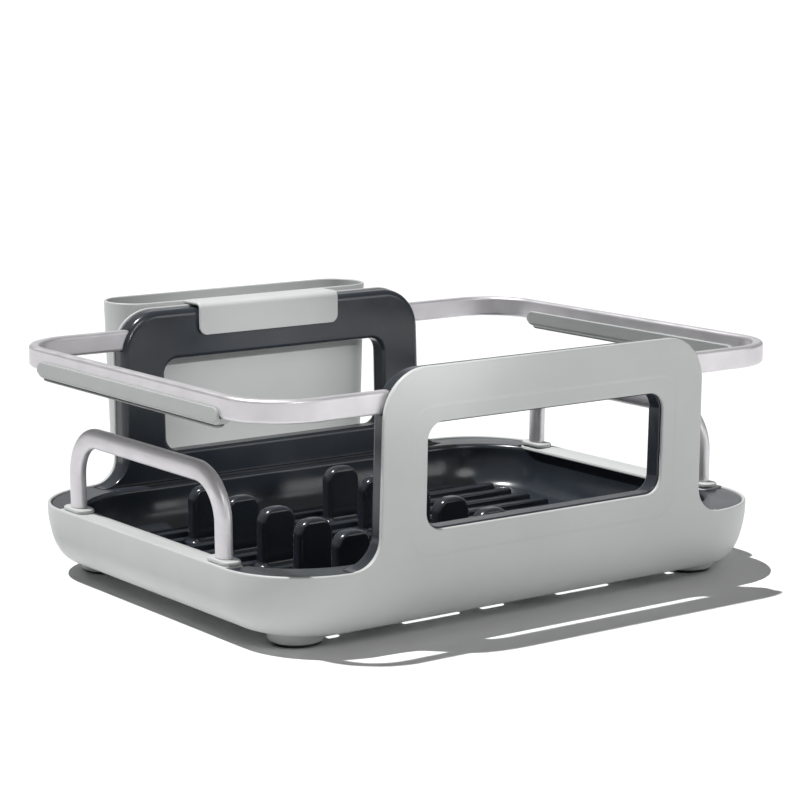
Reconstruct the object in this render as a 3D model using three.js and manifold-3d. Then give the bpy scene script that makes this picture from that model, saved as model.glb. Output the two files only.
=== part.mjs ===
// Dish drying rack: a light outer shell with two windowed uprights, a dark tray with plate
// tines, two side handles, two pull-out arms that rest on the edges of a sink, and a
// lift-off utensil cup.
// Millimetres, +Z up, +X to the right along the long side, +Y towards the cup.
// The origin is on the ground, under the middle of the rack with its cup hung on.

import * as THREE from 'three';
import { mergeVertices } from 'three/addons/utils/BufferGeometryUtils.js';
import Module from 'manifold-3d';

// ---------------------------------------------------------------- driving dimensions

// overall bowl
const RACK_LENGTH = 430;
const RACK_DEPTH = 335;
const RIM_HEIGHT = 52;
const RIM_CORNER_RADIUS = 60;
const GROUND_CLEARANCE = 10;
const BOWL_END_INSET = 20;
const BOWL_FRONT_INSET = 15;
const SHELL_WALL = 2.5;
const CORNER_STEPS = 6;
const BOWL_STEPS = 6;

// clearances
const TOUCH_GAP = 0.3;
const SLIDE_CLEARANCE = 0.4;
const SCREW_CLEARANCE = 0.4;
const CUT_MARGIN = 5;

// side lips that carry the handles
const LIP_WIDTH = 18;
const LIP_THICKNESS = 3;
const LIP_CREST_WIDTH = 10;
const LIP_SLOPE_DROP = 1.5;
const LIP_SEAT = 1.5;

// front and back uprights
const UPRIGHT_TOP = 178;
const UPRIGHT_END_MARGIN = 81;
const UPRIGHT_TAPER = 0.013;
const UPRIGHT_LEAN = 0.028;
const UPRIGHT_CORNER_RADIUS = 32;
const FOOT_FILLET_RADIUS = 19;
const PANEL_THICKNESS = 3;
const PANEL_ROOT = 1.5;
const INNER_FRAME_DEPTH = 12.5;
const INNER_FRAME_INSET = 1;
const WINDOW_SIDE = 34.5;
const WINDOW_SILL = 19.2;
const WINDOW_HEAD = 36.5;
const WINDOW_CORNER_RADIUS = 12;

// tray
const TRAY_WALL = 2.5;
const FLANGE_DROP = 1.2;
const BASIN_END_MARGIN = 16;
const BASIN_FRONT_MARGIN = 26.5;
const BASIN_CORNER_RADIUS = 60;
const FLOOR_SPACING = 5.5;
const BASIN_END_INSET = 18;
const BASIN_FRONT_INSET = 16;
const LIP_SHADOW_GAP = 1;

// ribs, drain slots and tines
const RIB_COUNT = 11;
const RIB_ROW_MARGIN = 12.5;
const RIB_WIDTH = 7;
const RIB_HEIGHT = 4.5;
const RIB_END_GAP = 23;
const SLOT_WIDTH = 8;
const SLOT_ROWS = 8;
const SLOT_END_MARGIN = 10;
const SIDE_SLOTS = [[-157, -140], [-92, -42], [-27, -4], [39, 89], [140, 157]];
const TINE_COUNT = 5;
const RIBS_PER_TINE = 2;
const TINE_ROW_END_GAP = 72;
const TINE_ROW_SPACING = 117;
const TINE_WIDTH = 28;
const TINE_THICKNESS = 11;
const TINE_HEIGHT = 40.5;
const TINE_TOP_RADIUS = 11;
const TINE_EDGE = 2.5;
const TINE_FLARE = 4;
const TINE_FLARE_STEPS = 2;

// pull-out arms
const ARM_OVERHANG = 7;
const ARM_SETBACK = 2.3;
const ARM_DROP = 13.4;
const ARM_HEIGHT = 15;
const ARM_THICKNESS = 7.6;
const ARM_CORNER_RADIUS = 45;
const ARM_EDGE = 2;
const ARM_CENTRE_GAP = 12;
const GLIDE_LENGTH = 12;
const GRIP_END_GAP = 3.2;
const GRIP_WALL = 1.8;
const GRIP_OVERLAP = 6.7;
const GRIP_UNDER = 4.8;
const PAD_WIDTH = 8.4;
const PAD_THICKNESS = 1.8;
const PAD_END_MARGIN = 4;

// side handles
const HANDLE_END_MARGIN = 13.2;
const HANDLE_OFFSET = 9.5;
const HANDLE_RISE = 62.2;
const HANDLE_TUBE_HEIGHT = 14;
const HANDLE_TUBE_WIDTH = 9.5;
const HANDLE_BEND_RADIUS = 30;
const HANDLE_LEAN = 0.013;
const HANDLE_STEPS = 28;
const BASE_LENGTH = 28;
const BASE_WIDTH = 14;
const BASE_THICKNESS = 2.5;
const HANDLE_SCREW_REACH = 12;

// screws
const SCREW_RADIUS = 2;
const SCREW_HEAD_RADIUS = 3.4;
const SCREW_HEAD_HEIGHT = 2.2;
const BOSS_RADIUS = 5.5;
const TRAY_SCREW_DEPTH = 4.2;

// feet
const FOOT_RADIUS = 18.8;
const FOOT_END_INSET = 46.3;
const FOOT_FRONT_INSET = 46.8;
const FOOT_STUD_RADIUS = 4;
const FOOT_STUD_REACH = 1.6;
const FOOT_EDGE = 1.2;
const FOOT_PAD_RADIUS = 16.5;
const FOOT_PAD_HEIGHT = 1.5;

// utensil cup
const CUP_CENTRE_X = -7.5;
const CUP_WIDTH = 226;
const CUP_DEPTH = 48;
const CUP_HEIGHT = 118.8;
const CUP_CORNER_RADIUS = 23;
const CUP_DRAFT = 0.028;
const CUP_WALL = 2.2;
const CUP_BASE_ROUND = 6;
const CUP_PANEL_GAP = 2.5;
const CUP_DRAIN_COUNT = 7;
const CUP_DRAIN_LENGTH = 22;
const CUP_DRAIN_WIDTH = 6;
const HOOK_WIDTH = 124;
const HOOK_FLAP_HEIGHT = 24;
const HOOK_THICKNESS = 2.4;
const HOOK_CORNER_RADIUS = 6;
const HOOK_CLEARANCE = 0.7;

// ---------------------------------------------------------------- derived positions

const HALF_LENGTH = RACK_LENGTH / 2;
const HALF_DEPTH = RACK_DEPTH / 2;
const SHELL_FLOOR = GROUND_CLEARANCE + SHELL_WALL;
const LIP_INNER_X = HALF_LENGTH - LIP_WIDTH;
const LIP_HALF_LENGTH = HALF_DEPTH - RIM_CORNER_RADIUS;
const LIP_UNDERSIDE = RIM_HEIGHT - LIP_THICKNESS;
const FLANGE_TOP = RIM_HEIGHT - FLANGE_DROP;
const UPRIGHT_TOP_WIDTH = RACK_LENGTH - 2 * UPRIGHT_END_MARGIN;
const WINDOW_WIDTH = UPRIGHT_TOP_WIDTH - 2 * WINDOW_SIDE;
const WINDOW_BOTTOM = RIM_HEIGHT + WINDOW_SILL;
const WINDOW_TOP = UPRIGHT_TOP - WINDOW_HEAD;
const PANEL_INNER_Y = HALF_DEPTH - PANEL_THICKNESS;
const FRAME_OUTER_Y = PANEL_INNER_Y - TOUCH_GAP;
const FRAME_INNER_Y = FRAME_OUTER_Y - INNER_FRAME_DEPTH;
const FRAME_BASE = FLANGE_TOP + TOUCH_GAP;
const ARM_TOP = UPRIGHT_TOP - ARM_DROP;
const ARM_BOTTOM = ARM_TOP - ARM_HEIGHT;
const ARM_OUTER_Y = HALF_DEPTH - ARM_SETBACK;
const ARM_INNER_Y = ARM_OUTER_Y - ARM_THICKNESS;
const GRIP_LENGTH = 2 * (ARM_OUTER_Y - ARM_CORNER_RADIUS - GRIP_END_GAP);
const ARM_OUTER_X = HALF_LENGTH + ARM_OVERHANG;
const HANDLE_X = HALF_LENGTH - HANDLE_OFFSET;
const HANDLE_HALF_SPACING = LIP_HALF_LENGTH - HANDLE_END_MARGIN;
const HANDLE_TOP = RIM_HEIGHT + HANDLE_RISE;
const BASE_TOP = RIM_HEIGHT + TOUCH_GAP + BASE_THICKNESS;
const LEG_BOTTOM = BASE_TOP + TOUCH_GAP;
const FOOT_X = HALF_LENGTH - FOOT_END_INSET;
const FOOT_Y = HALF_DEPTH - FOOT_FRONT_INSET;
const FOOT_BOTTOM = FOOT_PAD_HEIGHT + TOUCH_GAP;
const FOOT_TOP = GROUND_CLEARANCE - TOUCH_GAP;
const BASIN_HALF_X = HALF_LENGTH - BASIN_END_MARGIN;
const BASIN_HALF_Y = HALF_DEPTH - BASIN_FRONT_MARGIN;
const BASIN_FLOOR = SHELL_FLOOR + FLOOR_SPACING;
const RIB_TOP = BASIN_FLOOR + RIB_HEIGHT;
const RIB_HALF_LENGTH = BASIN_HALF_X - RIB_END_GAP;
const RIBS_EACH_SIDE = (RIB_COUNT - 1) / 2;
const RIB_PITCH = (BASIN_HALF_Y - BASIN_FRONT_INSET - RIB_ROW_MARGIN) / RIBS_EACH_SIDE;
const SIDE_SLOT_Y = RIBS_EACH_SIDE * RIB_PITCH + (RIB_WIDTH + SLOT_WIDTH) / 2;
const TINE_PITCH = RIBS_PER_TINE * RIB_PITCH;
const TINE_YS = Array.from({ length: TINE_COUNT }, (_, index) => (
  (index - (TINE_COUNT - 1) / 2) * TINE_PITCH
));
const LEFT_ROW_X = TINE_ROW_END_GAP - RIB_HALF_LENGTH;
const TINE_ROWS = { left: LEFT_ROW_X, right: LEFT_ROW_X + TINE_ROW_SPACING };
const TRAY_SCREW_Y = (TINE_COUNT / 2 - 1) * TINE_PITCH;
const UPRIGHT_TOP_Y = HALF_DEPTH + UPRIGHT_LEAN * (UPRIGHT_TOP - RIM_HEIGHT);
const CUP_TOP = UPRIGHT_TOP + SLIDE_CLEARANCE + HOOK_THICKNESS;
const CUP_BOTTOM = CUP_TOP - CUP_HEIGHT;
const CUP_CENTRE_Y = UPRIGHT_TOP_Y + CUP_PANEL_GAP + CUP_DEPTH / 2;
const ORIGIN_SHIFT_Y = (CUP_CENTRE_Y + CUP_DEPTH / 2 - UPRIGHT_TOP_Y) / 2;

// ---------------------------------------------------------------- solids and booleans

const wasm = await Module();
wasm.setup();

function toSolid(geometry) {
  const bare = geometry.clone();
  bare.deleteAttribute('normal');
  bare.deleteAttribute('uv');
  const merged = mergeVertices(bare, 1e-4);
  const mesh = new wasm.Mesh({
    numProp: 3,
    vertProperties: new Float32Array(merged.attributes.position.array),
    triVerts: new Uint32Array(merged.index.array),
  });
  return new wasm.Manifold(mesh);
}

function toGeometry(solid) {
  const mesh = solid.getMesh();
  const geometry = new THREE.BufferGeometry();
  geometry.setAttribute('position', new THREE.BufferAttribute(mesh.vertProperties, 3));
  geometry.setIndex(new THREE.BufferAttribute(mesh.triVerts, 1));
  geometry.computeVertexNormals();
  return geometry;
}

function join(geometries) {
  return geometries.map(toSolid).reduce((whole, next) => whole.add(next));
}

function cut(solid, geometries) {
  return geometries.map(toSolid).reduce((whole, tool) => whole.subtract(tool), solid);
}

// ---------------------------------------------------------------- outlines and shapes

// Points of a rounded rectangle, counter-clockwise, the same number for every size.
function roundedRectPoints(halfX, halfY, radius, steps = CORNER_STEPS) {
  const corners = [[1, 1], [-1, 1], [-1, -1], [1, -1]];
  return corners.flatMap(([sideX, sideY], quarter) => {
    const centreX = sideX * (halfX - radius);
    const centreY = sideY * (halfY - radius);
    return Array.from({ length: steps + 1 }, (_, step) => {
      const angle = (quarter + step / steps) * Math.PI / 2;
      return new THREE.Vector2(centreX + radius * Math.cos(angle), centreY + radius * Math.sin(angle));
    });
  });
}

function roundedRectShape(minX, maxX, minY, maxY, radius, steps = CORNER_STEPS) {
  const points = roundedRectPoints((maxX - minX) / 2, (maxY - minY) / 2, radius, steps);
  const centre = new THREE.Vector2((minX + maxX) / 2, (minY + maxY) / 2);
  return new THREE.Shape(points.map((point) => point.add(centre)));
}

// A closed solid through a stack of outlines, from the lowest to the highest.
function loft(rings) {
  const count = rings[0].outline.length;
  const positions = rings.flatMap(({ outline, z }) => outline.flatMap((point) => [point.x, point.y, z]));
  const indices = [];
  for (let ring = 0; ring < rings.length - 1; ring += 1) {
    for (let side = 0; side < count; side += 1) {
      const next = (side + 1) % count;
      const low = ring * count;
      const high = low + count;
      indices.push(low + side, low + next, high + next);
      indices.push(low + side, high + next, high + side);
    }
  }
  const top = (rings.length - 1) * count;
  for (const [a, b, c] of THREE.ShapeUtils.triangulateShape(rings[0].outline, [])) {
    indices.push(a, c, b);
  }
  for (const [a, b, c] of THREE.ShapeUtils.triangulateShape(rings.at(-1).outline, [])) {
    indices.push(top + a, top + b, top + c);
  }
  const geometry = new THREE.BufferGeometry();
  geometry.setAttribute('position', new THREE.Float32BufferAttribute(positions, 3));
  geometry.setIndex(indices);
  return geometry;
}

// An outline in X and Z, given its thickness along Y.
function plateAlongY(shape, fromY, toY, bevel = 0, curveSegments = CORNER_STEPS) {
  const geometry = new THREE.ExtrudeGeometry(shape, {
    depth: toY - fromY - 2 * bevel,
    bevelEnabled: bevel > 0,
    bevelThickness: bevel,
    bevelSize: bevel,
    bevelOffset: -bevel,
    bevelSegments: 1,
    curveSegments,
  });
  geometry.rotateX(Math.PI / 2);
  geometry.translate(0, toY - bevel, 0);
  return geometry;
}

// An outline in X and Y, given its height along Z.
function plateAlongZ(shape, fromZ, toZ, bevel = 0, curveSegments = CORNER_STEPS) {
  const geometry = new THREE.ExtrudeGeometry(shape, {
    depth: toZ - fromZ - 2 * bevel,
    bevelEnabled: bevel > 0,
    bevelThickness: bevel,
    bevelSize: bevel,
    bevelOffset: -bevel,
    bevelSegments: 1,
    curveSegments,
  });
  geometry.translate(0, 0, fromZ + bevel);
  return geometry;
}

function block(minX, maxX, minY, maxY, minZ, maxZ) {
  const geometry = new THREE.BoxGeometry(maxX - minX, maxY - minY, maxZ - minZ);
  geometry.translate((minX + maxX) / 2, (minY + maxY) / 2, (minZ + maxZ) / 2);
  return geometry;
}

function rod(radius, x, y, fromZ, toZ, sides = 16) {
  const geometry = new THREE.CylinderGeometry(radius, radius, toZ - fromZ, sides);
  geometry.rotateX(Math.PI / 2);
  geometry.translate(x, y, (fromZ + toZ) / 2);
  return geometry;
}

function slotAlongX(fromX, toX, y, width, fromZ, toZ) {
  const shape = roundedRectShape(fromX, toX, y - width / 2, y + width / 2, width / 2 - 0.01, 2);
  return plateAlongZ(shape, fromZ, toZ);
}

// Tilts an upright outwards above the rim: side is -1 at the front and 1 at the back.
function leanOut(geometry, side) {
  const position = geometry.attributes.position;
  for (let index = 0; index < position.count; index += 1) {
    const rise = Math.max(0, position.getZ(index) - RIM_HEIGHT);
    position.setY(index, position.getY(index) + side * UPRIGHT_LEAN * rise);
  }
  return geometry;
}

// The outlines of a bowl whose walls curve in to its floor, from the floor up.
function bowlRings(halfX, halfY, radius, top, floor, endInset, frontInset) {
  return Array.from({ length: BOWL_STEPS + 1 }, (_, step) => {
    const angle = (step / BOWL_STEPS) * Math.PI / 2;
    const pull = 1 - Math.sin(angle);
    const corner = radius - pull * (endInset + frontInset) / 2;
    return {
      outline: roundedRectPoints(halfX - pull * endInset, halfY - pull * frontInset, corner),
      z: top - (top - floor) * Math.cos(angle),
    };
  });
}

// ---------------------------------------------------------------- uprights

// The outline of an upright in X and Z, with spread feet and round top corners.
function uprightShape(inset, base, root) {
  const top = UPRIGHT_TOP - inset;
  const halfWidthAt = (z) => UPRIGHT_TOP_WIDTH / 2 - inset + UPRIGHT_TAPER * (top - z);
  const fillet = FOOT_FILLET_RADIUS + inset;
  const corner = UPRIGHT_CORNER_RADIUS - inset;
  const filletZ = base + fillet;
  const cornerZ = top - corner;
  const footX = halfWidthAt(filletZ) + fillet;
  const cornerX = halfWidthAt(cornerZ) - corner;
  const shape = new THREE.Shape();
  shape.moveTo(-footX, base - root);
  shape.lineTo(footX, base - root);
  shape.lineTo(footX, base);
  shape.absarc(footX, filletZ, fillet, -Math.PI / 2, -Math.PI, true);
  shape.absarc(cornerX, cornerZ, corner, 0, Math.PI / 2, false);
  shape.absarc(-cornerX, cornerZ, corner, Math.PI / 2, Math.PI, false);
  shape.absarc(-footX, filletZ, fillet, 0, -Math.PI / 2, true);
  shape.lineTo(-footX, base - root);
  return shape;
}

function windowShape(inset) {
  const half = WINDOW_WIDTH / 2 - inset;
  const radius = WINDOW_CORNER_RADIUS - inset;
  return roundedRectShape(-half, half, WINDOW_BOTTOM + inset, WINDOW_TOP - inset, radius, 6);
}

// Both sides of the rack share one recipe: side is -1 at the front and 1 at the back.
function sidePlate(shape, innerY, outerY, side) {
  return side > 0 ? plateAlongY(shape, innerY, outerY) : plateAlongY(shape, -outerY, -innerY);
}

function uprightPanel(side) {
  const shape = uprightShape(0, RIM_HEIGHT, PANEL_ROOT);
  return leanOut(sidePlate(shape, PANEL_INNER_Y, HALF_DEPTH, side), side);
}

function windowCut(side) {
  return sidePlate(windowShape(0), PANEL_INNER_Y - CUT_MARGIN, HALF_DEPTH + 2 * CUT_MARGIN, side);
}

function innerFrame(side) {
  const shape = uprightShape(INNER_FRAME_INSET, FRAME_BASE, 0);
  shape.holes.push(new THREE.Path(windowShape(INNER_FRAME_INSET).getPoints()));
  const body = leanOut(sidePlate(shape, FRAME_INNER_Y, FRAME_OUTER_Y, side), side);
  const channel = sidePlate(
    roundedRectShape(
      -HALF_LENGTH, HALF_LENGTH,
      ARM_BOTTOM - SLIDE_CLEARANCE, ARM_TOP + SLIDE_CLEARANCE, SLIDE_CLEARANCE, 1,
    ),
    ARM_INNER_Y - SLIDE_CLEARANCE, HALF_DEPTH + 2 * CUT_MARGIN, side,
  );
  return toGeometry(cut(toSolid(body), [channel]));
}

// ---------------------------------------------------------------- drain slots, shared by shell and tray

function slotColumns() {
  const half = TINE_WIDTH / 2 + SLOT_END_MARGIN;
  const end = RIB_HALF_LENGTH - SLOT_END_MARGIN;
  return [
    [-end, TINE_ROWS.left - half],
    [TINE_ROWS.left + half, TINE_ROWS.right - half],
    [TINE_ROWS.right + half, end],
  ];
}

function drainSlots(fromZ, toZ) {
  const rows = Array.from({ length: SLOT_ROWS }, (_, row) => (row - (SLOT_ROWS - 1) / 2) * RIB_PITCH);
  const between = rows.flatMap((y) => slotColumns().map(([from, to]) => (
    slotAlongX(from, to, y, SLOT_WIDTH, fromZ, toZ)
  )));
  const beside = [-SIDE_SLOT_Y, SIDE_SLOT_Y].flatMap((y) => SIDE_SLOTS.map(([from, to]) => (
    slotAlongX(from, to, y, SLOT_WIDTH, fromZ, toZ)
  )));
  return [...between, ...beside];
}

const TRAY_SCREWS = Object.entries(TINE_ROWS).flatMap(([row, x]) => [
  { name: `tray_screw_${row}_front`, x, y: -TRAY_SCREW_Y },
  { name: `tray_screw_${row}_back`, x, y: TRAY_SCREW_Y },
]);

const FEET = [
  { name: 'front_left', x: -FOOT_X, y: -FOOT_Y },
  { name: 'front_right', x: FOOT_X, y: -FOOT_Y },
  { name: 'back_left', x: -FOOT_X, y: FOOT_Y },
  { name: 'back_right', x: FOOT_X, y: FOOT_Y },
];

const HANDLE_LEGS = [
  { name: 'left_handle_front', x: -HANDLE_X, y: -HANDLE_HALF_SPACING },
  { name: 'left_handle_back', x: -HANDLE_X, y: HANDLE_HALF_SPACING },
  { name: 'right_handle_front', x: HANDLE_X, y: -HANDLE_HALF_SPACING },
  { name: 'right_handle_back', x: HANDLE_X, y: HANDLE_HALF_SPACING },
];

// ---------------------------------------------------------------- outer shell

function lip(side) {
  const wallX = HALF_LENGTH - LIP_SEAT;
  const crestX = HALF_LENGTH - LIP_CREST_WIDTH;
  const profile = new THREE.Shape([
    new THREE.Vector2(side * wallX, LIP_UNDERSIDE),
    new THREE.Vector2(side * wallX, RIM_HEIGHT),
    new THREE.Vector2(side * crestX, RIM_HEIGHT),
    new THREE.Vector2(side * LIP_INNER_X, RIM_HEIGHT - LIP_SLOPE_DROP),
    new THREE.Vector2(side * LIP_INNER_X, LIP_UNDERSIDE),
  ]);
  return plateAlongY(profile, -LIP_HALF_LENGTH, LIP_HALF_LENGTH);
}

function outerShell() {
  const outside = bowlRings(
    HALF_LENGTH, HALF_DEPTH, RIM_CORNER_RADIUS, RIM_HEIGHT, GROUND_CLEARANCE,
    BOWL_END_INSET, BOWL_FRONT_INSET,
  );
  const inside = bowlRings(
    HALF_LENGTH - SHELL_WALL, HALF_DEPTH - SHELL_WALL, RIM_CORNER_RADIUS - SHELL_WALL,
    RIM_HEIGHT, SHELL_FLOOR, BOWL_END_INSET, BOWL_FRONT_INSET,
  );
  inside.push({ outline: inside.at(-1).outline, z: RIM_HEIGHT + CUT_MARGIN });
  let shell = cut(toSolid(loft(outside)), [loft(inside)]);
  for (const piece of [lip(-1), lip(1), uprightPanel(-1), uprightPanel(1)]) {
    shell = shell.add(toSolid(piece));
  }
  const footHoles = FEET.map(({ x, y }) => (
    rod(FOOT_STUD_RADIUS + TOUCH_GAP, x, y, GROUND_CLEARANCE - CUT_MARGIN, SHELL_FLOOR + 1)
  ));
  const trayHoles = TRAY_SCREWS.map(({ x, y }) => (
    rod(SCREW_RADIUS + SCREW_CLEARANCE, x, y, GROUND_CLEARANCE - CUT_MARGIN, SHELL_FLOOR + 1, 12)
  ));
  const handleHoles = HANDLE_LEGS.map(({ x, y }) => (
    rod(SCREW_RADIUS + SCREW_CLEARANCE, x, y, LIP_UNDERSIDE - 1, RIM_HEIGHT + 1, 12)
  ));
  const slots = drainSlots(GROUND_CLEARANCE - CUT_MARGIN, SHELL_FLOOR + 1);
  return toGeometry(cut(shell, [
    windowCut(-1), windowCut(1), ...footHoles, ...trayHoles, ...handleHoles, ...slots,
  ]));
}

// ---------------------------------------------------------------- tray

function ribs() {
  const half = TINE_WIDTH / 2 + TINE_FLARE + TOUCH_GAP;
  const end = RIB_HALF_LENGTH;
  const whole = [[-end, end]];
  const broken = [
    [-end, TINE_ROWS.left - half],
    [TINE_ROWS.left + half, TINE_ROWS.right - half],
    [TINE_ROWS.right + half, end],
  ];
  const tinePlaces = TINE_YS.map((y) => Math.round(y / RIB_PITCH));
  return Array.from({ length: RIB_COUNT }, (_, index) => index - RIBS_EACH_SIDE).flatMap((place) => {
    const holdsTine = tinePlaces.includes(place);
    const y = place * RIB_PITCH;
    return (holdsTine ? broken : whole).map(([from, to]) => (
      slotAlongX(from, to, y, RIB_WIDTH, BASIN_FLOOR - TRAY_WALL / 2, RIB_TOP)
    ));
  });
}

function tray() {
  const flange = plateAlongZ(
    new THREE.Shape(roundedRectPoints(
      HALF_LENGTH - SHELL_WALL - SLIDE_CLEARANCE,
      PANEL_INNER_Y - SLIDE_CLEARANCE,
      RIM_CORNER_RADIUS - SHELL_WALL - SLIDE_CLEARANCE,
    )),
    FLANGE_TOP - TRAY_WALL, FLANGE_TOP,
  );
  const outside = bowlRings(
    BASIN_HALF_X + TRAY_WALL, BASIN_HALF_Y + TRAY_WALL, BASIN_CORNER_RADIUS + TRAY_WALL,
    FLANGE_TOP - TRAY_WALL / 2, BASIN_FLOOR - TRAY_WALL, BASIN_END_INSET, BASIN_FRONT_INSET,
  );
  const inside = bowlRings(
    BASIN_HALF_X, BASIN_HALF_Y, BASIN_CORNER_RADIUS, FLANGE_TOP, BASIN_FLOOR,
    BASIN_END_INSET, BASIN_FRONT_INSET,
  );
  inside.push({ outline: inside.at(-1).outline, z: FLANGE_TOP + CUT_MARGIN });
  const lipSpaces = [-1, 1].map((side) => {
    const from = LIP_INNER_X - SLIDE_CLEARANCE;
    const to = HALF_LENGTH;
    const reach = LIP_HALF_LENGTH + SLIDE_CLEARANCE;
    const bottom = LIP_UNDERSIDE - LIP_SHADOW_GAP;
    return side < 0
      ? block(-to, -from, -reach, reach, bottom, FLANGE_TOP + CUT_MARGIN)
      : block(from, to, -reach, reach, bottom, FLANGE_TOP + CUT_MARGIN);
  });
  const bosses = TRAY_SCREWS.map(({ x, y }) => (
    rod(BOSS_RADIUS, x, y, SHELL_FLOOR + TOUCH_GAP, BASIN_FLOOR - TRAY_WALL / 2, 16)
  ));
  const screwHoles = TRAY_SCREWS.map(({ x, y }) => {
    const top = SHELL_FLOOR + TOUCH_GAP + TRAY_SCREW_DEPTH;
    return rod(SCREW_RADIUS + SCREW_CLEARANCE, x, y, SHELL_FLOOR - 1, top, 12);
  });
  const basin = cut(join([flange, loft(outside)]), [loft(inside), ...lipSpaces]);
  const filled = [...ribs(), ...bosses].reduce((whole, piece) => whole.add(toSolid(piece)), basin);
  const slots = drainSlots(BASIN_FLOOR - TRAY_WALL - 1, BASIN_FLOOR + 1);
  return toGeometry(cut(filled, [...screwHoles, ...slots]));
}

// ---------------------------------------------------------------- tines

// A plate with a round top, standing on a foot that flares out to the tray floor.
function tine() {
  const halfX = TINE_WIDTH / 2;
  const halfY = TINE_THICKNESS / 2;
  const bottom = BASIN_FLOOR + TOUCH_GAP;
  const top = bottom + TINE_HEIGHT;
  const arch = TINE_TOP_RADIUS;
  const shape = new THREE.Shape();
  shape.moveTo(-halfX, bottom);
  shape.lineTo(halfX, bottom);
  shape.absarc(halfX - arch, top - arch, arch, 0, Math.PI / 2, false);
  shape.absarc(arch - halfX, top - arch, arch, Math.PI / 2, Math.PI, false);
  const plate = plateAlongY(shape, -halfY, halfY, TINE_EDGE, 4);
  const flare = Array.from({ length: TINE_FLARE_STEPS + 1 }, (_, step) => {
    const angle = (step / TINE_FLARE_STEPS) * Math.PI / 2;
    const spread = TINE_FLARE * (1 - Math.sin(angle)) - TOUCH_GAP / 2;
    return {
      outline: roundedRectPoints(halfX + spread, halfY + spread, TINE_EDGE + spread, 2),
      z: bottom + TINE_FLARE * (1 - Math.cos(angle)),
    };
  });
  return toGeometry(join([plate, loft(flare)]));
}

// ---------------------------------------------------------------- arms

function armShape() {
  const outerX = ARM_OUTER_X;
  const innerX = ARM_OUTER_X - ARM_THICKNESS;
  const startX = ARM_CENTRE_GAP / 2 + GLIDE_LENGTH + TOUCH_GAP;
  const innerRadius = ARM_CORNER_RADIUS - ARM_THICKNESS;
  const cornerX = outerX - ARM_CORNER_RADIUS;
  const cornerY = ARM_OUTER_Y - ARM_CORNER_RADIUS;
  const shape = new THREE.Shape();
  shape.moveTo(startX, -ARM_OUTER_Y);
  shape.absarc(cornerX, -cornerY, ARM_CORNER_RADIUS, -Math.PI / 2, 0, false);
  shape.absarc(cornerX, cornerY, ARM_CORNER_RADIUS, 0, Math.PI / 2, false);
  shape.lineTo(startX, ARM_OUTER_Y);
  shape.lineTo(startX, ARM_INNER_Y);
  shape.absarc(innerX - innerRadius, cornerY, innerRadius, Math.PI / 2, 0, true);
  shape.absarc(innerX - innerRadius, -cornerY, innerRadius, 0, -Math.PI / 2, true);
  shape.lineTo(startX, -ARM_INNER_Y);
  return shape;
}

function armBar() {
  return plateAlongZ(armShape(), ARM_BOTTOM, ARM_TOP, ARM_EDGE);
}

function armGrip() {
  const outerX = ARM_OUTER_X + GRIP_WALL;
  const innerX = ARM_OUTER_X - ARM_THICKNESS - GRIP_WALL;
  const top = ARM_BOTTOM + GRIP_OVERLAP;
  const bottom = ARM_BOTTOM - GRIP_UNDER;
  const outline = roundedRectShape(innerX, outerX, bottom, top, GRIP_WALL - TOUCH_GAP, 3);
  const sleeve = plateAlongY(outline, -GRIP_LENGTH / 2, GRIP_LENGTH / 2);
  const space = block(
    ARM_OUTER_X - ARM_THICKNESS - TOUCH_GAP, ARM_OUTER_X + TOUCH_GAP,
    -GRIP_LENGTH, GRIP_LENGTH, ARM_BOTTOM - TOUCH_GAP, top + CUT_MARGIN,
  );
  return toGeometry(cut(toSolid(sleeve), [space]));
}

function gripPad() {
  const centreX = ARM_OUTER_X - ARM_THICKNESS / 2;
  const top = ARM_BOTTOM - GRIP_UNDER - TOUCH_GAP;
  const half = GRIP_LENGTH / 2 - PAD_END_MARGIN;
  const shape = roundedRectShape(
    centreX - PAD_WIDTH / 2, centreX + PAD_WIDTH / 2, -half, half, PAD_WIDTH / 2 - 0.01, 5,
  );
  return plateAlongZ(shape, top - PAD_THICKNESS, top);
}

function armGlide(side) {
  const from = ARM_CENTRE_GAP / 2;
  const shape = roundedRectShape(
    from, from + GLIDE_LENGTH,
    Math.min(side * ARM_INNER_Y, side * ARM_OUTER_Y), Math.max(side * ARM_INNER_Y, side * ARM_OUTER_Y),
    ARM_EDGE, 3,
  );
  return plateAlongZ(shape, ARM_BOTTOM, ARM_TOP);
}

// ---------------------------------------------------------------- handles

class HandlePath extends THREE.Curve {
  constructor() {
    super();
    this.topZ = HANDLE_TOP - HANDLE_TUBE_HEIGHT / 2;
    this.rise = this.topZ - HANDLE_BEND_RADIUS - LEG_BOTTOM;
    this.bend = HANDLE_BEND_RADIUS * Math.PI / 2;
    this.flat = 2 * (HANDLE_HALF_SPACING - HANDLE_BEND_RADIUS);
    this.total = 2 * this.rise + 2 * this.bend + this.flat;
  }

  getPoint(t, target = new THREE.Vector3()) {
    const mirrored = t > 0.5;
    const along = (mirrored ? 1 - t : t) * this.total;
    const centreY = HANDLE_HALF_SPACING - HANDLE_BEND_RADIUS;
    const centreZ = this.topZ - HANDLE_BEND_RADIUS;
    let y = HANDLE_HALF_SPACING;
    let z = LEG_BOTTOM + along;
    if (along > this.rise + this.bend) {
      y = centreY - (along - this.rise - this.bend);
      z = this.topZ;
    } else if (along > this.rise) {
      const angle = (along - this.rise) / HANDLE_BEND_RADIUS;
      y = centreY + HANDLE_BEND_RADIUS * Math.cos(angle);
      z = centreZ + HANDLE_BEND_RADIUS * Math.sin(angle);
    }
    return target.set(0, mirrored ? y : -y, z);
  }
}

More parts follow.
